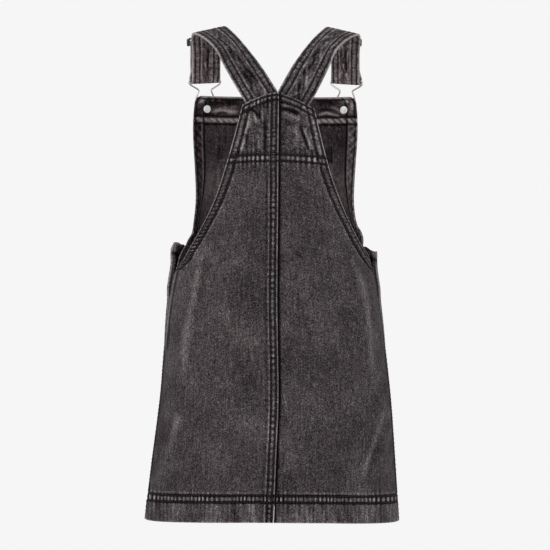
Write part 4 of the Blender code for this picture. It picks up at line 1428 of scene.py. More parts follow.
    def patch(
        self,
        course: Callable[[Array, Side], Array],
        top: Edge,
        foot: Edge,
        lines: Sequence[float],
        rows: int,
        columns: int,
    ) -> Grid:
        """Rule a piece that lies across the middle of the front.

        Args:
            course: the arc length of its edge on a side, at many heights.
            top: its top edge.
            foot: its foot edge.
            lines: its rows of stitches, by their way from the side edges.
            rows: how many even rows the grid has.
            columns: how many even columns.

        Returns:
            The grid.
        """
        reach = max(lines) + 2.5
        left = Edge(lambda z: -course(z, Side.LEFT), close_places(lines, reach))
        right = Edge(lambda z: course(z, Side.RIGHT), close_places(lines, reach))
        raised = partial(mouth_lift, self.figure)
        return Patch(Face.FRONT, top, foot, left, right, rows, columns, raised, slanted=False).rule(self.figure)

    def build(self) -> None:
        """Make every piece of the front, and sew them."""
        self.build_bib()
        self.build_bib_pocket()
        self.build_skirt()
        for side in Side:
            self.build_hip_pocket(side)

    def build_bib(self) -> None:
        """Make the bib: its inner side shows from behind, with the top facing and the pocket's stitches."""
        top = Edge(lambda x: np.full_like(x, BIB_TOP), close_places(self.facing_lines, self.facing + 2.0))
        foot = Edge(lambda x: np.full_like(x, WAIST_SEAM + 0.25), close_places((), 3.0))
        grid = self.patch(self.bib_edge, top, foot, self.side_hem_lines, *self.bib_grid)
        edge = np.minimum(grid.left, grid.right)
        layers = np.maximum(doubled(grid.top, self.facing), doubled(edge, self.side_hem))
        outer, inner = Relief.level(edge, CLOTH), Relief(-CLOTH * layers)
        outer.lay(self.bib_marks(grid, edge, 1.0))
        inner.lay(self.bib_marks(grid, edge, 4.0), -1.0)
        self.mark_pocket_rows(inner, grid)
        self.shade_bib(inner, grid, edge)
        creases = Relief.level(edge)
        creases.crease(grid.x, grid.z, self.facing_creases)
        inner.lay(creases, -1.0)
        cloth = Cloth(grid, outer, inner)
        cloth.sew("bib_cloth", self.bib_finish, True, "bib")
        self.stitch_bib(cloth)

    @staticmethod
    def sway(grid: Grid) -> Array:
        """The way down from the bib's top, wavy as the puckered foot of its facing is."""
        return grid.top + 0.7 * ripple(grid.x, 13.0, 2.0)

    def bib_marks(self, grid: Grid, edge: Array, phase: float) -> Relief:
        """The marks that both sides of the bib have: its facing, its side hems and its worn edges."""
        marks = Relief.level(edge)
        marks.grooves(grid.top, (*self.facing_lines, self.facing + 0.5))
        lines = (self.facing_lines[1] + 0.9, self.facing - 0.4)
        marks.ladder(grid.x + 0.9 * grid.z, self.sway(grid), lines, self.facing_pucker, phase)
        corner = ease(np.abs(grid.x), 50.0, 66.0)
        marks.wear_and_shade += corner * 0.5 * ripple(grid.x, 6.4, phase) * bell(grid.top, 5.6, 1.4)
        marks.worn_edge(grid.x, grid.top, 2.4, 2.0)
        marks.grooves(edge, self.side_hem_lines)
        marks.wear_and_shade += 0.55 * bell(edge, self.side_hem_lines[1] - 1.6, 0.8)
        marks.worn_edge(grid.z, edge, 0.6)
        twill = ticks(grid.z - 0.8 * edge, 5.5, 2.0 * np.sin(grid.z / 17.0))
        marks.wear_and_shade += 0.22 * twill * window(edge, 1.0, 3.0, 9.0, 11.0)
        return marks

    def mark_pocket_rows(self, inner: Relief, grid: Grid) -> None:
        """The bib pocket's rows and bar tacks, as they come through to the bib's inner side."""
        from_side = self.pocket_half - np.abs(grid.x)
        beside = (grid.z < self.pocket_top) & (grid.z > self.pocket_foot)
        light = ease(-grid.z, 142.0, 148.0) * (1.0 + 0.8 * ticks(grid.z, 3.4))
        for line in self.pocket_lines:
            mark = bell(from_side, line, 0.9) * beside
            inner.lift += 0.3 * mark
            inner.wear_and_shade += (light - 0.5) * mark
        for tack in self.bartacks:
            from_sides = np.minimum(grid.x - tack.low_x, tack.high_x - grid.x)
            within = np.minimum(from_sides, np.minimum(tack.top - grid.z, grid.z - tack.foot))
            inner.wear_and_shade += 0.35 * bell(within, -0.6, 0.7) - 0.25 * ease(within, -0.8, 1.6)

    def shade_bib(self, inner: Relief, grid: Grid, edge: Array) -> None:
        """Rub the bib's inner side light at its corners, in its facing's foot and beside its hems' rows; make it
        darker beside the left hem; and paint shade below the facing in its upper middle.
        """
        below = ease(grid.top, self.facing, self.facing + 1.0)
        near, far = np.minimum(edge, grid.top), np.maximum(edge, grid.top)
        speckle = 0.9 + 0.5 * ripple(grid.x - 1.4 * grid.z, 3.1, 1.0)
        inner.wear_and_shade += 0.1 + bell(near, 4.2, 2.6) * fall(far, 10.0, 16.0) * speckle
        inner.wear_and_shade -= 0.6 * window(grid.top, 2.0, 4.5, self.facing - 8.0, self.facing - 6.0)
        inner.wear_and_shade += 0.5 * window(self.sway(grid), 23.0, 24.5, 27.6, 29.0)
        # painted shade below the facing, across the upper middle, fading downwards
        middle = ease(edge, self.side_hem - 1.0, self.side_hem + 2.0) * fall(-grid.z, 118.0, 172.0)
        inner.wear_and_shade -= 0.5 * middle * ease(grid.top, self.facing, self.facing + 1.5)
        patches = 0.45 * ripple(grid.z + 0.8 * edge, 9.0, 2.0) + 0.35 * ripple(grid.z - 1.3 * edge, 17.0, 5.0)
        inner.wear_and_shade += below * fall(edge, 9.4, 10.8) * (patches + np.where(grid.x < 0.0, -0.6, 0.1))
        inner.wear_and_shade += below * (bell(edge, 11.2, 0.6) - 1.3 * bell(edge, 13.2, 1.1))
        inner.wear_and_shade += ease(-grid.z, 208.0, 214.0) * (0.5 * bell(edge, 2.5, 2.6) - bell(edge, 6.8, 1.2))

    def stitch_bib(self, cloth: Cloth) -> None:
        """Sew the bib's rows, and the bib pocket's where they come through to its inner side."""
        for inside in (False, True):
            self.stitching.rows(cloth, ("top",), self.facing_lines, 4.0, 4.0, inside)
            self.stitching.rows(cloth, ("left", "right"), self.side_hem_lines, 4.0, 1.0, inside)
        grid, points, ways = cloth.grid, cloth.sides()[1], -cloth.grid.out
        for tack in self.bartacks:
            for z in np.arange(tack.top, tack.foot, -1.1):
                row = np.abs(grid.z[:, 0] - z).argmin()
                kept = (grid.x[row] > tack.low_x) & (grid.x[row] < tack.high_x)
                self.navy.run((points[row][kept], ways[row][kept]), 0.1, 0.0, 3.1)
        rows = np.flatnonzero((grid.z[:, 0] < self.pocket_rows_top) & (grid.z[:, 0] > self.pocket_foot))
        for line in self.pocket_lines:
            for side in Side:
                columns = np.abs(grid.x[rows] - side.way * (self.pocket_half - line)).argmin(axis=1)
                self.grey.run((points[rows, columns], ways[rows, columns]), 0.5, 0.5, 3.4)

    def build_bib_pocket(self) -> None:
        """Make the patch pocket on the bib's outer face."""
        base = CLOTH + SEAM_GAP
        top_places = close_places(self.pocket_top_lines, self.pocket_hem + 2.0)
        top = Edge(lambda x: np.full_like(x, self.pocket_top), top_places)
        foot = Edge(lambda x: np.full_like(x, self.pocket_foot), close_places(self.pocket_lines, 10.0))
        grid = self.patch(self.pocket_edge, top, foot, self.pocket_lines, *self.pocket_grid)
        edge = np.minimum(np.minimum(grid.left, grid.right), grid.foot)
        outer = Relief(base + CLOTH * (1.0 + doubled(grid.top, self.pocket_hem)))
        outer.grooves(grid.top, self.pocket_top_lines)
        outer.grooves(edge, self.pocket_lines)
        outer.ladder(grid.x + grid.z, edge, self.pocket_lines, self.pocket_pucker, 6.0)
        outer.ladder(grid.x, grid.top, self.pocket_top_lines, self.pocket_top_pucker, 7.0)
        outer.worn_edge(grid.z + grid.x, edge)
        outer.worn_edge(grid.x, grid.top)
        cloth = Cloth(grid, outer, Relief.level(edge, base))
        cloth.sew("bib_pocket_cloth", self.bib_finish, True, "bib_pocket")
        self.stitching.rows(cloth, ("left", "right"), self.pocket_lines, 1.0, 2.0)
        self.stitching.rows(cloth, ("foot",), self.pocket_lines, 2.5, 2.5)
        self.stitching.rows(cloth, ("top",), self.pocket_top_lines, 2.0, 2.0)

    def build_skirt(self) -> None:
        """Make the front skirt, from the waist seam to the hem."""
        top = Edge(self.waist_course, close_places(self.waist_lines, self.waist_close))
        foot = Edge(hem_course, close_places(self.hem_lines, self.hem_close))
        grid = self.patch(self.mouth_edge, top, foot, self.mouth_lines, *self.skirt_grid)
        edge = np.minimum(grid.left, grid.right)
        layers = np.maximum(doubled(grid.top, self.waist_turn), doubled(grid.foot, self.hem_turn))
        outer = Relief(CLOTH * (1.0 + np.maximum(layers, doubled(edge, self.mouth_hem))))
        inner = Relief.level(edge)
        roll = ease(grid.z, -300.0, -280.0) * np.exp(-edge / 9.0) * np.where(grid.x < 0.0, 2.2, 1.2)
        outer.lift += roll
        inner.lift += roll
        mouth = ease(grid.z, MOUTH_FOOT - 6.0, MOUTH_FOOT + 6.0)
        self.mark_skirt(outer, grid, edge, mouth)
        self.shade_mouths(inner, grid, edge, mouth)
        cloth = Cloth(grid, outer, inner)
        cloth.sew("front_skirt_cloth", self.skirt_finish, True, "front_skirt")
        self.stitching.rows(cloth, ("top",), self.waist_lines, 1.0, 1.0)
        self.stitching.rows(cloth, ("foot",), self.hem_lines, 1.0, 1.0)
        self.stitching.rows(cloth, ("left", "right"), self.mouth_lines, 1.0, above=MOUTH_FOOT)

    def mark_skirt(self, outer: Relief, grid: Grid, edge: Array, mouth: Array) -> None:
        """The skirt's seams and hems, and the outline of the bag that lies behind it."""
        outer.grooves(edge, self.mouth_lines)
        outer.ladder(grid.z, edge, self.mouth_lines, self.mouth_pucker, 8.0)
        outer.worn_edge(grid.z + grid.x, edge)
        outer.wear_and_shade -= 0.5 * (1.0 - mouth) * np.exp(-edge / 1.2)
        outer.grooves(grid.top, self.waist_lines)
        outer.ladder(grid.x, grid.top, self.waist_lines, self.waist_pucker, 9.0)
        outer.grooves(grid.foot, self.hem_lines)
        outer.ladder(grid.x, grid.foot, self.hem_lines, self.hem_pucker, 10.0)
        outer.worn_edge(grid.x, grid.foot)
        from_seam = self.figure.lengths(Face.FRONT, grid.z) - np.abs(grid.weave[..., 0])
        low = self.bag_foot + self.bag_corner * ease(from_seam, self.bag_corner_from, self.hip_reach)
        from_side = np.abs(from_seam - self.hip_reach) + 50.0 * (grid.z < low)
        from_foot = np.abs(grid.z - low) + 50.0 * (from_seam > self.hip_reach)
        for distance in (from_side, from_foot):
            outer.ridge(distance, 0.0, -0.35, 1.4, -0.25)

    def shade_mouths(self, inner: Relief, grid: Grid, edge: Array, mouth: Array) -> None:
        """Rub the mouths' edges light on the inner side, which shows past the back, and paint shade on what lies
        behind, for the dark inside of the skirt seen past the mouth.
        """
        reach = np.abs(grid.x - smooth(SECTIONS, "lean", grid.z) * (grid.z < ARMHOLE_FOOT)) + inner.lift
        inset = np.where(grid.x < 0.0, reach[:, :1], reach[:, -1:]) - reach
        twill = ticks(grid.z + 0.5 * inset, 2.5, 1.2 * np.sin(grid.z / 11.0))
        strip = fall(inset, 2.6, 3.6)
        # painted shade: the dark inside of the skirt, seen past the mouth's light edge
        behind = fall(inset, 11.0, 14.0) * (1.0 - strip)
        corner = ease(grid.z, -262.0, -250.0)
        inner.worn_edge(grid.z, edge, 0.8)
        inner.wear_and_shade += mouth * (strip * (0.95 + 0.7 * twill) - 1.8 * behind * (1.0 - 0.6 * corner))
        tab = 0.9 * bell(grid.top, 2.0, 3.0) - 1.2 * bell(grid.top, 9.5, 2.6)
        inner.wear_and_shade += mouth * corner * tab * (inset < 9.0)

    def build_hip_pocket(self, side: Side) -> None:
        """Make one hip pocket's back, which shows in its mouth and closes the front armhole."""
        near = np.array(close_places(self.hip_lines, 10.0)) / 120.0
        shares = np.concatenate([near, np.linspace(0.09, 1.0, 76)])[:, None]
        beside_seam = np.maximum(close_places((2.0,), 4.0), self.hip_start)
        from_seam = np.concatenate([beside_seam, np.linspace(4.8, self.hip_reach, 50)])[None, :]
        if side is Side.LEFT:
            from_seam = from_seam[:, ::-1]
        top = ARMHOLE_FOOT + (WAIST_SEAM + 1.6 - ARMHOLE_FOOT) * ease(from_seam, -8.0, 19.0)
        corner = self.bag_corner * ease(from_seam, self.bag_corner_from, self.hip_reach)
        foot = MOUTH_FOOT - 4.0 - 25.0 * ease(from_seam, 0.0, 30.0) + corner
        z = (1.0 - shares) * top + shares * foot
        from_seam = from_seam + 0.0 * z
        arc = side.way * (self.figure.lengths(Face.FRONT, z) - from_seam)
        sunk = np.maximum(ease(from_seam, 3.0, 14.0), ease(-z, 312.0, 332.0))
        out = self.figure.outward(Face.FRONT, z, arc)
        lift = self.figure.folds(Face.FRONT, z, arc) - self.underlay * sunk
        from_edges = (from_seam - self.hip_start, self.hip_reach - from_seam)
        left, right = from_edges if side is Side.LEFT else from_edges[::-1]
        grid = Grid(
            base=self.figure.flat(Face.FRONT, z, arc) + out * lift[..., None],
            out=out,
            left=left,
            right=right,
            top=top - z,
            foot=z - foot,
            weave=np.stack([arc, -z], axis=-1),
        )
        outer = Relief.level(z, CLOTH)
        outer.grooves(grid.top, self.hip_lines)
        outer.worn_edge(grid.x, grid.top)
        outer.worn_edge(grid.z, from_seam)
        outer.ladder(arc, grid.top, self.hip_lines, self.hip_pucker, 11.0 + side.way)
        cloth = Cloth(grid, outer, Relief.level(z))
        cloth.sew(f"hip_pocket_{side.value}_cloth", self.bib_finish, False, f"hip_pocket_{side.value}")
        self.stitching.rows(cloth, ("top",), self.hip_lines, 1.0, 1.0)


class StrapPoint(NamedTuple):
    """A place on the right strap's route, and the way that its outer face looks there."""

    x: float
    y: float
    z: float
    out: tuple[float, float, float]


STRAP_ROUTE = (
    StrapPoint(9.6, -60.0, -93.0, (0.0, -1.0, 0.0)),
    StrapPoint(16.2, -60.5, -81.5, (0.0, -1.0, 0.0)),
    StrapPoint(24.4, -60.4, -67.7, (-0.02, -1.0, 0.05)),
    StrapPoint(31.7, -58.8, -55.1, (-0.12, -0.96, 0.16)),
    StrapPoint(39.8, -55.1, -41.6, (-0.22, -0.89, 0.37)),
    StrapPoint(47.8, -46.1, -27.6, (-0.26, -0.72, 0.64)),
    StrapPoint(57.9, -29.0, -15.0, (-0.1, -0.51, 0.85)),
    StrapPoint(69.5, -8.8, -4.8, (0.16, -0.24, 0.95)),
    StrapPoint(75.1, 15.1, -4.0, (0.3, 0.28, 0.9)),
    StrapPoint(76.2, 38.0, -18.2, (0.49, 0.65, 0.6)),
    StrapPoint(77.0, 49.8, -36.9, (0.53, 0.83, 0.19)),
    StrapPoint(77.0, 52.6, -53.0, (0.54, 0.84, 0.1)),
)


class WirePoint(NamedTuple):
    """A place on a buckle's wire: across from its middle, and down from its bar."""

    across: float
    down: float


BUCKLE_OUTLINE = (
    WirePoint(0.0, 0.0),
    WirePoint(9.5, 0.0),
    WirePoint(18.4, 0.0),
    WirePoint(19.9, 1.5),
    WirePoint(20.0, 3.8),
    WirePoint(18.0, 5.8),
    WirePoint(13.2, 8.4),
    WirePoint(9.0, 10.6),
    WirePoint(8.1, 12.2),
    WirePoint(8.9, 14.4),
    WirePoint(10.9, 18.6),
    WirePoint(11.3, 22.2),
    WirePoint(9.6, 26.4),
    WirePoint(5.8, 30.6),
    WirePoint(4.5, 33.4),
    WirePoint(3.1, 36.2),
    WirePoint(0.0, 37.4),
)


def curve_through(points: Sequence[Sequence[float]], spacing: float) -> Array:
    """A smooth curve through points of any size, with a point about every spacing."""
    knots = [np.array(point, dtype=float) for point in points]
    knots = [2.0 * knots[0] - knots[1], *knots, 2.0 * knots[-1] - knots[-2]]
    curve = []
    for before, start, end, after in zip(knots, knots[1:], knots[2:], knots[3:]):
        count = max(int(round(float(np.linalg.norm((end - start)[:3])) / spacing)), 1)
        t = (np.arange(count) / count)[:, None]
        curve.append(hermite(t, start, 0.5 * (end - before), end, 0.5 * (after - start)))
    return np.concatenate([*curve, knots[-2][None]])


class Route(NamedTuple):
    """A strap's stations: their centres, the ways across and out, and which are past the buckle's bar."""

    centre: Array
    across: Array
    out: Array
    folded: Array


@dataclass
class Straps:
    """The two crossed straps, each a band of two layers that turns round its buckle's bar."""

    finish: bpy.types.Material
    stitching: Stitching
    width: float = 36.0
    thick: float = 2.4
    wire: float = 2.0
    bar_room: float = 0.8
    lean: float = 2.8
    fold_top: float = -9.0
    lines: tuple[float, float] = (3.2, 9.1)
    fold_shift: tuple[float, float] = (0.8, -3.2)
    phases: tuple[float, float] = (3.0, 7.0)
    turn_steps: int = 12
    yoke_room: float = 0.15
    edge_close: float = 12.6
    edge_pucker: Pucker = Pucker(0.12, 4.2, 0.35)
    front_creases: tuple[Crease, ...] = (
        Crease(((-0.9, -46.0), (-1.4, -22.0), (-0.6, 0.0)), -0.3, 1.4, -1.4),
        Crease(((-3.0, -38.0), (-3.2, -12.0)), 0.25, 0.8, 0.9),
        Crease(((4.7, -25.0), (0.2, -13.0), (-4.1, -1.0)), 0.3, 0.9, 1.5),
        Crease(((3.6, -40.0), (4.6, -26.0), (2.0, -6.0)), -0.25, 1.1, -0.9),
    )
    back_creases: tuple[tuple[Crease, ...], ...] = (
        (
            Crease(((8.0, 3.0), (1.0, 6.0), (-4.0, 13.0)), -0.4, 1.6, -1.4),
            Crease(((6.0, 9.0), (0.0, 12.0), (-6.0, 20.0)), 0.4, 1.4, 0.9),
            Crease(((7.0, 22.0), (2.0, 34.0), (3.0, 48.0)), -0.3, 1.3, -0.8),
            Crease(((-6.0, 30.0), (-1.0, 52.0), (-3.0, 74.0)), -0.3, 1.2, -0.9),
            Crease(((2.0, 44.0), (-4.0, 64.0), (0.0, 92.0)), 0.3, 1.0, 0.8),
            Crease(((5.0, 60.0), (1.0, 80.0), (6.0, 104.0)), -0.3, 1.2, -0.8),
        ),
        (
            Crease(((-8.0, 4.0), (-2.0, 8.0), (1.0, 20.0)), -0.4, 1.6, -1.4),
            Crease(((-6.0, 13.0), (-1.0, 17.0), (4.0, 28.0)), 0.4, 1.3, 1.2),
            Crease(((7.0, 12.0), (3.0, 22.0), (-3.0, 34.0)), -0.4, 1.4, -1.1),
            Crease(((6.0, 30.0), (1.0, 44.0), (-4.0, 56.0)), 0.3, 1.2, 0.9),
            Crease(((-5.0, 36.0), (0.0, 60.0), (-3.0, 84.0)), -0.3, 1.2, -0.9),
            Crease(((5.0, 62.0), (1.0, 84.0), (4.0, 104.0)), 0.3, 1.0, 0.7),
        ),
    )

    @property
    def turn_radius(self) -> float:
        """From the bar's middle to the strap's."""
        return self.wire / 2.0 + self.bar_room + self.thick / 2.0

    def first_layer(self, spacing: float = 1.15) -> Route:
        """The right strap from the yoke over the shoulder to the buckle's bar."""
        curve = curve_through([(point.x, point.y, point.z, *point.out) for point in STRAP_ROUTE], spacing)
        centre = curve[:, :3]
        along = unit(np.gradient(centre, axis=0))
        across = unit(np.cross(along, curve[:, 3:]))
        return Route(centre, across, unit(np.cross(across, along)), np.zeros(len(centre)))

    def bar(self) -> tuple[Array, Array, Array]:
        """The right buckle's bar: its middle, its way across and its way out."""
        first = self.first_layer()
        return first.centre[-1] + first.out[-1] * self.turn_radius, first.across[-1], first.out[-1]

    def route(self, side: Side) -> Route:
        """The whole route: it turns round the bar and comes back up to the slide."""
        first = self.first_layer()
        bar, across, out = self.bar()
        along = unit(np.cross(out, across))
        angle = (math.pi * np.arange(1, self.turn_steps) / self.turn_steps)[:, None]
        spoke = -out * np.cos(angle) + along * np.sin(angle)
        back = [first.centre[::-1], first.across[::-1], first.out[::-1]]
        walked = walk(back[0])[:, None]
        kept = np.cumsum(back[0][:, 2] > self.fold_top) == 0
        off = 2.0 * self.turn_radius + (self.thick + SEAM_GAP - 2.0 * self.turn_radius) * ease(walked, 0.0, 11.0)
        shift = self.fold_shift[side.number] * ease(walked, 0.0, 27.5)
        returned = (back[0] + back[2] * off + back[1] * shift)[kept]
        centre = np.concatenate([first.centre, bar + spoke * self.turn_radius, returned])
        ways = np.concatenate([first.out, -spoke, -back[2][kept]])
        crossings = np.concatenate([first.across, np.repeat(across[None], len(angle), axis=0), back[1][kept]])
        folded = np.concatenate([np.zeros(len(first.centre)), np.full(len(angle), 0.5), np.ones(len(returned))])
        return Route(centre, crossings, ways, folded)

    def lay(self, places: Array, side: Side) -> Array:
        """Turn the right strap's places into one side's, and lean the back down to the yoke."""
        leaning = self.lean * ease(-places[..., 2], 15.0, 95.0) * ease(-places[..., 1], 0.0, 40.0)
        moved = places.copy()
        moved[..., 0] = np.maximum(places[..., 0], self.yoke_room) * side.way + leaning
        return moved

    def grid(self, side: Side) -> tuple[Grid, Route]:
        """Rule a strap from the yoke to its folded end."""
        route = self.route(side)
        reach = self.width / 2.0
        room = (route.centre[:, 0] - self.yoke_room) / np.maximum(route.across[:, 0], 0.05)
        inner = np.where(route.centre[:, 2] < -60.0, np.clip(room, 2.0, reach), reach)[:, None]
        edge = np.array(close_places(self.lines, self.edge_close, 1.1))
        near = np.where(inner < reach - 0.01, -inner * (1.0 - edge / reach), edge - reach)
        far = np.repeat((reach - edge[::-1])[None], len(near), axis=0)
        across = spread(near, far, 5)
        base = route.centre[:, None] + route.across[:, None] * across[..., None]
        out = np.repeat(route.out[:, None], across.shape[1], axis=1) * side.mirror
        along = walk(route.centre)[:, None] + 0.0 * across
        weave = np.stack([across, -along], axis=-1)
        grid = Grid(self.lay(base, side), out, across + reach, reach - across, along, along[-1:] - along, weave)
        return grid, route

    def marks(self, grid: Grid, route: Route, side: Side, inside: bool) -> Relief:
        """One face's stitched edges, its rumpled middle and its creases."""
        along, across, phase = grid.top, grid.weave[..., 0], self.phases[side.number]
        bar = along[route.folded == 0.5][0, 0]
        marks = Relief.level(along)
        for number, edge in enumerate((grid.left, grid.right)):
            marks.grooves(edge, self.lines, 0.5, 0.7)
            marks.ladder(along, edge, self.lines, self.edge_pucker, phase + 2.0 + number)
            marks.ridge(edge, self.lines[1] + 2.1, 0.25, 0.9, 0.6)
            marks.wear_and_shade += 0.12 * fall(edge, 9.0, 11.0)
            marks.worn_edge(along, edge, 1.5)
        core = ease(np.minimum(grid.left, grid.right), self.lines[1] + 2.0, self.lines[1] + 5.0)
        rumple = ripple(0.42 * along + grid.left, 5.6, phase) * (0.6 + 0.4 * ripple(along, 21.0, phase + 5.0))
        marks.wear_and_shade += core * (0.55 * rumple + 0.25 * ripple(along - grid.left, 27.0, phase + 1.0) - 0.15)
        marks.lift += core * 0.25 * rumple
        marks.wear_and_shade += 0.25 * ripple(across, 5.1, phase) * ripple(along, 31.0, phase + 3.0)
        marks.wear_and_shade += 0.2 * bell(along, bar, 9.0)
        if inside:
            marks.wear_and_shade += 0.3
            marks.crease(-side.way * across, along - bar, self.front_creases)
        else:
            marks.crease(across, along, self.back_creases[side.number])
        return marks

    def build(self) -> None:
        """Make the straps and sew them."""
        for side in Side:
            grid, route = self.grid(side)
            over_front = (route.centre[:, 1] > 0.0) & (route.centre[:, 2] < -6.0)
            hidden = over_front | (route.folded > 0.0)
            reliefs = []
            for sign in (1.0, -1.0):
                marks = self.marks(grid, route, side, sign < 0.0)
                if sign > 0.0:
                    marks.lift = np.where(hidden[:, None], np.minimum(marks.lift, 0.0), marks.lift)
                reliefs.append(Relief.level(grid.top, sign * self.thick / 2.0))
                reliefs[-1].lay(marks, sign)
            cloth = Cloth(grid, *reliefs)
            name = f"strap_{side.value}"
            cloth.sew(f"{name}_cloth", self.finish, side is Side.RIGHT, name)
            self.stitch(cloth, route, hidden)

    def stitch(self, cloth: Cloth, route: Route, hidden: Array) -> None:
        """Sew both edges' rows, except where the layers meet and in the turn round the bar."""
        straight = np.abs(route.folded - 0.5) > 0.1
        for inside in (False, True):
            shown = straight & (inside | ~hidden)
            runs = np.split(np.arange(len(shown)), np.flatnonzero(np.diff(shown.astype(int))) + 1)
            for edge in ("left", "right"):
                for line in self.lines:
                    points, ways = cloth.line(edge, line, inside)
                    for kept in runs:
                        if shown[kept[0]] and len(kept) > 6:
                            self.stitching.run((points[kept], ways[kept]), 1.0, 1.0)


def tube(points: Array, radius: float, sides: int) -> tuple[Array, Array]:
    """Sweep a round wire along a closed loop: its points and its faces."""
    way = unit(np.roll(points, -1, axis=0) - np.roll(points, 1, axis=0))
    normal = unit(np.cross(points[len(points) // 4] - points[0], points[len(points) // 2] - points[0]))
    beside = unit(np.cross(way, normal))
    cosines, sines = circle(sides)
    spokes = beside[:, None] * cosines + normal * sines
    rings = (points[:, None] + spokes * radius).reshape(-1, 3)
    start = np.arange(len(points))[:, None] * sides + np.arange(sides)
    after = np.roll(start, -1, axis=0)
    faces = np.stack([after, np.roll(after, -1, axis=1), np.roll(start, -1, axis=1), start], axis=-1)
    return rings, faces.reshape(-1, 4)


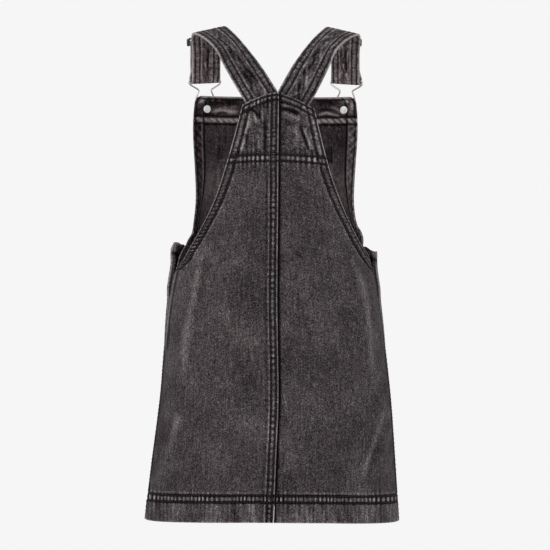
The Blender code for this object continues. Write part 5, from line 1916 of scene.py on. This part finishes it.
@dataclass
class Fastenings:
    """The wire buckles, the buttons with their tacks, and the strap slides."""

    figure: Figure
    straps: Straps
    bright: bpy.types.Material
    dark: bpy.types.Material
    pale: bpy.types.Material
    button_x: float = 76.5
    button_z: float = -85.3
    buckle_room: float = 1.0
    cap_radius: float = 8.5
    tack_radius: float = 4.3
    slide_size: tuple[float, float, float] = (41.0, 12.0, 1.6)
    slide_bar: float = 1.9
    slide_end: float = 3.4
    slide_seat: float = 1.2
    slide_bevel: float = 0.28
    slide_station: int = -4
    tack_seat: float = 0.45

    def seat(self) -> tuple[Array, Array]:
        """The right button's place on the bib's outer face, and the way that face looks."""
        z = np.array([self.button_z])
        arc = np.array([self.figure.arc_at(Face.FRONT, self.button_z, self.button_x)])
        out = self.figure.outward(Face.FRONT, z, arc)[0]
        return self.figure.flat(Face.FRONT, z, arc)[0] + out * CLOTH, out

    def build(self) -> None:
        """Make every piece of metal."""
        for side in Side:
            self.build_buckle(side)
            self.build_button(side)
            self.build_slide(side)

    def build_buckle(self, side: Side) -> None:
        """Make a buckle: one closed loop of wire, from the strap's fold to the button."""
        bar, across, _ = self.straps.bar()
        seat, out = self.seat()
        down = seat + out * (self.straps.wire / 2.0 + self.buckle_room) - bar
        way = unit(down)
        across = unit(across - way * (across @ way))
        half = curve_through([tuple(point) for point in BUCKLE_OUTLINE], 1.1)
        outline = np.concatenate([half, half[-2:0:-1] * (-1.0, 1.0)])
        points = bar + across * outline[:, :1] + way * outline[:, 1:]
        points[:, 0] *= side.way
        rings, faces = tube(points, self.straps.wire / 2.0, WIRE_SIDES)
        name = f"buckle_{side.value}"
        attach(f"{name}_wire", smooth_mesh(name, rings, faces.tolist()), self.bright, "metal", name)

    def turned(
        self, name: str, side: Side, profile: Sequence[tuple[float, float]], finish: bpy.types.Material, replaces: str
    ) -> None:
        """Make a turned piece on the button's axis.

        Args:
            name: the piece's name.
            side: the side that it is on.
            profile: its radii and heights, from its top's middle round to its foot's.
            finish: its material.
            replaces: the CAD node that it stands for.
        """
        seat, out = (vector * side.mirror for vector in self.seat())
        first = unit(np.array((out[1], -out[0], 0.0)))
        cosines, sines = circle(WHEEL_SIDES)
        wheel = first * cosines + np.cross(out, first) * sines
        rings = [seat + out * height + wheel * radius for radius, height in profile[1:-1]]
        points = np.concatenate([(seat + out * profile[0][1])[None], *rings, (seat + out * profile[-1][1])[None]])
        ring = list(range(1, WHEEL_SIDES + 1))
        pairs = list(zip(ring, ring[1:] + ring[:1]))
        foot = (len(rings) - 1) * WHEEL_SIDES
        faces = [[here, beside, 0] for here, beside in pairs]
        for low in range(0, foot, WHEEL_SIDES):
            high = low + WHEEL_SIDES
            faces += [[low + here, high + here, high + beside, low + beside] for here, beside in pairs]
        faces += [[foot + here, len(points) - 1, foot + beside] for here, beside in pairs]
        attach(name, smooth_mesh(name, points, faces), finish, "metal", replaces)

    def build_button(self, side: Side) -> None:
        """Make a button's rimmed cap and shank, and the tack's round back on the bib's inner side."""
        under = self.straps.wire + 2.0 * self.buckle_room
        edge = self.cap_radius
        cap = (
            (0.0, under + 2.55),
            (2.2, under + 2.5),
            (4.2, under + 2.3),
            (5.0, under + 1.95),
            (5.4, under + 1.8),
            (6.0, under + 2.0),
            (7.0, under + 2.2),
            (7.8, under + 2.0),
            (edge - 0.2, under + 1.5),
            (edge, under + 0.9),
            (edge - 0.15, under + 0.4),
            (edge - 0.6, under + 0.05),
            (6.5, under),
            (3.4, under),
            (2.85, under - 0.3),
            (2.8, SEAM_GAP + 0.4),
            (2.6, SEAM_GAP),
            (0.0, SEAM_GAP),
        )
        inside = -2.0 * CLOTH - SEAM_GAP - self.tack_seat
        disc = self.tack_radius
        tack = (
            (0.0, inside),
            (disc - 0.4, inside),
            (disc - 0.05, inside - 0.2),
            (disc, inside - 0.45),
            (disc - 0.35, inside - 0.75),
            (disc - 1.2, inside - 0.95),
            (2.4, inside - 1.05),
            (1.6, inside - 1.2),
            (0.8, inside - 1.3),
            (0.0, inside - 1.32),
        )
        self.turned(f"button_{side.value}_cap", side, cap, self.bright, f"button_{side.value}")
        self.turned(f"tack_{side.value}_disc", side, tack, self.pale, f"tack_{side.value}")

    def build_slide(self, side: Side) -> None:
        """Make a slide: a flat frame with a middle bar, on the folded end's outer face."""
        width, height, thick = self.slide_size
        slot = (height - 3.0 * self.slide_bar) / 2.0
        offset = (slot + self.slide_bar) / 2.0
        data = bpy.data.curves.new("slide", "CURVE")
        data.dimensions = "2D"
        data.fill_mode = "BOTH"
        data.extrude = (thick / 2.0 - self.slide_bevel) * MM
        data.bevel_depth = self.slide_bevel * MM
        data.bevel_resolution = 3
        data.offset = -self.slide_bevel * MM
        outlines = [self.rounded_box(width, height, 2.0, 0.0)]
        inside = width - 2.0 * self.slide_end
        outlines += [self.rounded_box(inside, slot, 0.7, middle) for middle in (-offset, offset)]
        for outline in outlines:
            spline = data.splines.new("POLY")
            spline.points.add(len(outline) - 1)
            spline.use_cyclic_u = True
            for point, (across, up) in zip(spline.points, outline):
                point.co = (across * MM, up * MM, 0.0, 1.0)
        blank = bpy.data.objects.new("slide_blank", data)
        mesh = bpy.data.meshes.new_from_object(blank)
        bpy.data.objects.remove(blank, do_unlink=True)
        route = self.straps.route(side)
        across, out = route.across[self.slide_station], -route.out[self.slide_station]
        seat = self.straps.thick / 2.0 + self.slide_seat + thick / 2.0
        centre = (route.centre[self.slide_station] + out * seat) * side.mirror
        ways = [across * side.way, unit(np.cross(out, across)), out]
        axes = Matrix([tuple(way * side.mirror) for way in ways]).transposed().to_4x4()
        mesh.transform(Matrix.Translation(Vector(centre) * MM) @ axes)
        mesh.shade_flat()
        attach(f"slide_{side.value}_frame", mesh, self.dark, "metal", f"slide_{side.value}")

    @staticmethod
    def rounded_box(width: float, height: float, radius: float, middle: float) -> list[tuple[float, float]]:
        """A rectangle's outline with round corners, its centre at (0, middle)."""
        points = []
        for quarter, (across, up) in enumerate(((1, 1), (-1, 1), (-1, -1), (1, -1))):
            corner = (across * (width / 2.0 - radius), middle + up * (height / 2.0 - radius))
            for step in range(7):
                angle = math.pi / 2.0 * (quarter + step / 6.0)
                points.append((corner[0] + radius * math.cos(angle), corner[1] + radius * math.sin(angle)))
        return points


@dataclass
class Studio:
    """A pale floor, soft even light and the photograph's point of view."""

    pale: float = 0.922
    distance: float = 2.700
    aim_x: float = 0.00075
    aim_z: float = -0.2685
    lens: float = 162.65
    roll: float = 0.4
    floor_z: float = -0.62
    floor_radius: float = 0.45
    floor_sides: int = 64
    key_place: tuple[float, float, float] = (-0.9, -1.5, 1.1)
    key_size: float = 1.0
    key_power: float = 9.0

    def build(self) -> None:
        """Set up the world, the floor, the light and the camera."""
        scene = bpy.context.scene
        scene.view_settings.view_transform = "Standard"
        world = bpy.data.worlds.new("pale_studio")
        world.use_nodes = True
        sky = world.node_tree.nodes["Background"]
        sky.inputs["Color"].default_value = (self.pale, self.pale, self.pale, 1.0)
        sky.inputs["Strength"].default_value = 1.0
        scene.world = world
        self.build_floor()
        self.build_light()
        data = bpy.data.cameras.new("view")
        data.lens = self.lens
        data.sensor_width = 36.0
        data.clip_start = 0.05
        data.clip_end = 50.0
        view = bpy.data.objects.new("view", data)
        place = Matrix.Translation((self.aim_x, -self.distance, self.aim_z))
        turn = Euler((math.pi / 2.0, 0.0, 0.0)).to_matrix().to_4x4()
        view.matrix_world = place @ turn @ Matrix.Rotation(math.radians(self.roll), 4, "Z")
        scene.collection.objects.link(view)
        scene.camera = view

    def build_floor(self) -> None:
        """Make the floor, a pale round under the dress."""
        cosines, sines = circle(self.floor_sides)
        rim = np.concatenate([cosines, sines, 0.0 * sines], axis=1) * self.floor_radius
        points = rim + (0.0, 0.0, self.floor_z)
        mesh = bpy.data.meshes.new("floor")
        mesh.from_pydata(points, [], [list(range(self.floor_sides))])
        board = Board("pale_floor")
        shade = board.mix(board.noise(board.place(), 9.0) + 0.5, (0.80, 0.80, 0.80, 1.0), (0.84, 0.84, 0.84, 1.0))
        mesh.materials.append(board.finish({"Base Color": shade, "Roughness": 0.95}))
        floor = bpy.data.objects.new("floor", mesh)
        bpy.context.scene.collection.objects.link(floor)

    def build_light(self) -> None:
        """Hang the key, a soft square lamp that looks at the dress's middle."""
        data = bpy.data.lights.new("key", "AREA")
        data.shape = "SQUARE"
        data.size = self.key_size
        data.energy = self.key_power
        lamp = bpy.data.objects.new("key", data)
        lamp.location = self.key_place
        aim = Vector((0.0, 0.0, self.aim_z)) - Vector(self.key_place)
        lamp.rotation_euler = aim.to_track_quat("-Z", "Y").to_euler()
        bpy.context.scene.collection.objects.link(lamp)


def main() -> None:
    """Dress the frame and finish."""
    logging.basicConfig(level=logging.INFO, format="%(name)s: %(message)s")
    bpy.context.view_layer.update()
    figure = Figure()
    washed = WashedDenim("washed_denim").material()
    rubbed = WashedDenim("rubbed_denim", grain=1.3, mottle=0.75, cloud=0.35).material()
    # faced_denim's raised brightness is painted light: it lifts the bib's inner side, which lies in shade behind the
    # back
    faced = WashedDenim("faced_denim", grain=0.9, mottle=0.4, brightness=0.06).material()
    banded = WashedDenim("banded_denim", grain=1.3, mottle=0.8, cloud=0.35, brightness=0.05).material()
    thread = SewingThread("dark_thread", (0.022, 0.020, 0.021)).material()
    bright = NickelPlate("nickel_plate").material()
    dark = NickelPlate("dulled_nickel", (0.16, 0.15, 0.15), 0.38).material()
    stitches = {name: Stitching() for name in ("back", "front", "strap", "bartack", "pocket")}
    Back(figure, washed, rubbed, stitches["back"]).build()
    Front(figure, faced, washed, stitches["front"], stitches["bartack"], stitches["pocket"]).build()
    straps = Straps(banded, stitches["strap"])
    straps.build()
    navy = SewingThread("navy_thread", (0.018, 0.024, 0.060)).material()
    grey = SewingThread("grey_thread", (0.085, 0.080, 0.085)).material()
    for name, stitching in stitches.items():
        stitching.sew(f"{name}_stitches", {"bartack": navy, "pocket": grey}.get(name, thread))
    # the tacks' near-white colour is painted light: it stands in for the strong light that falls on the discs
    pale = NickelPlate("tack_painted_light", (0.97, 0.97, 0.96), 0.38, 0.35).material()
    Fastenings(figure, straps, bright, dark, pale).build()
    Studio().build()


if __name__ == "__main__":
    main()
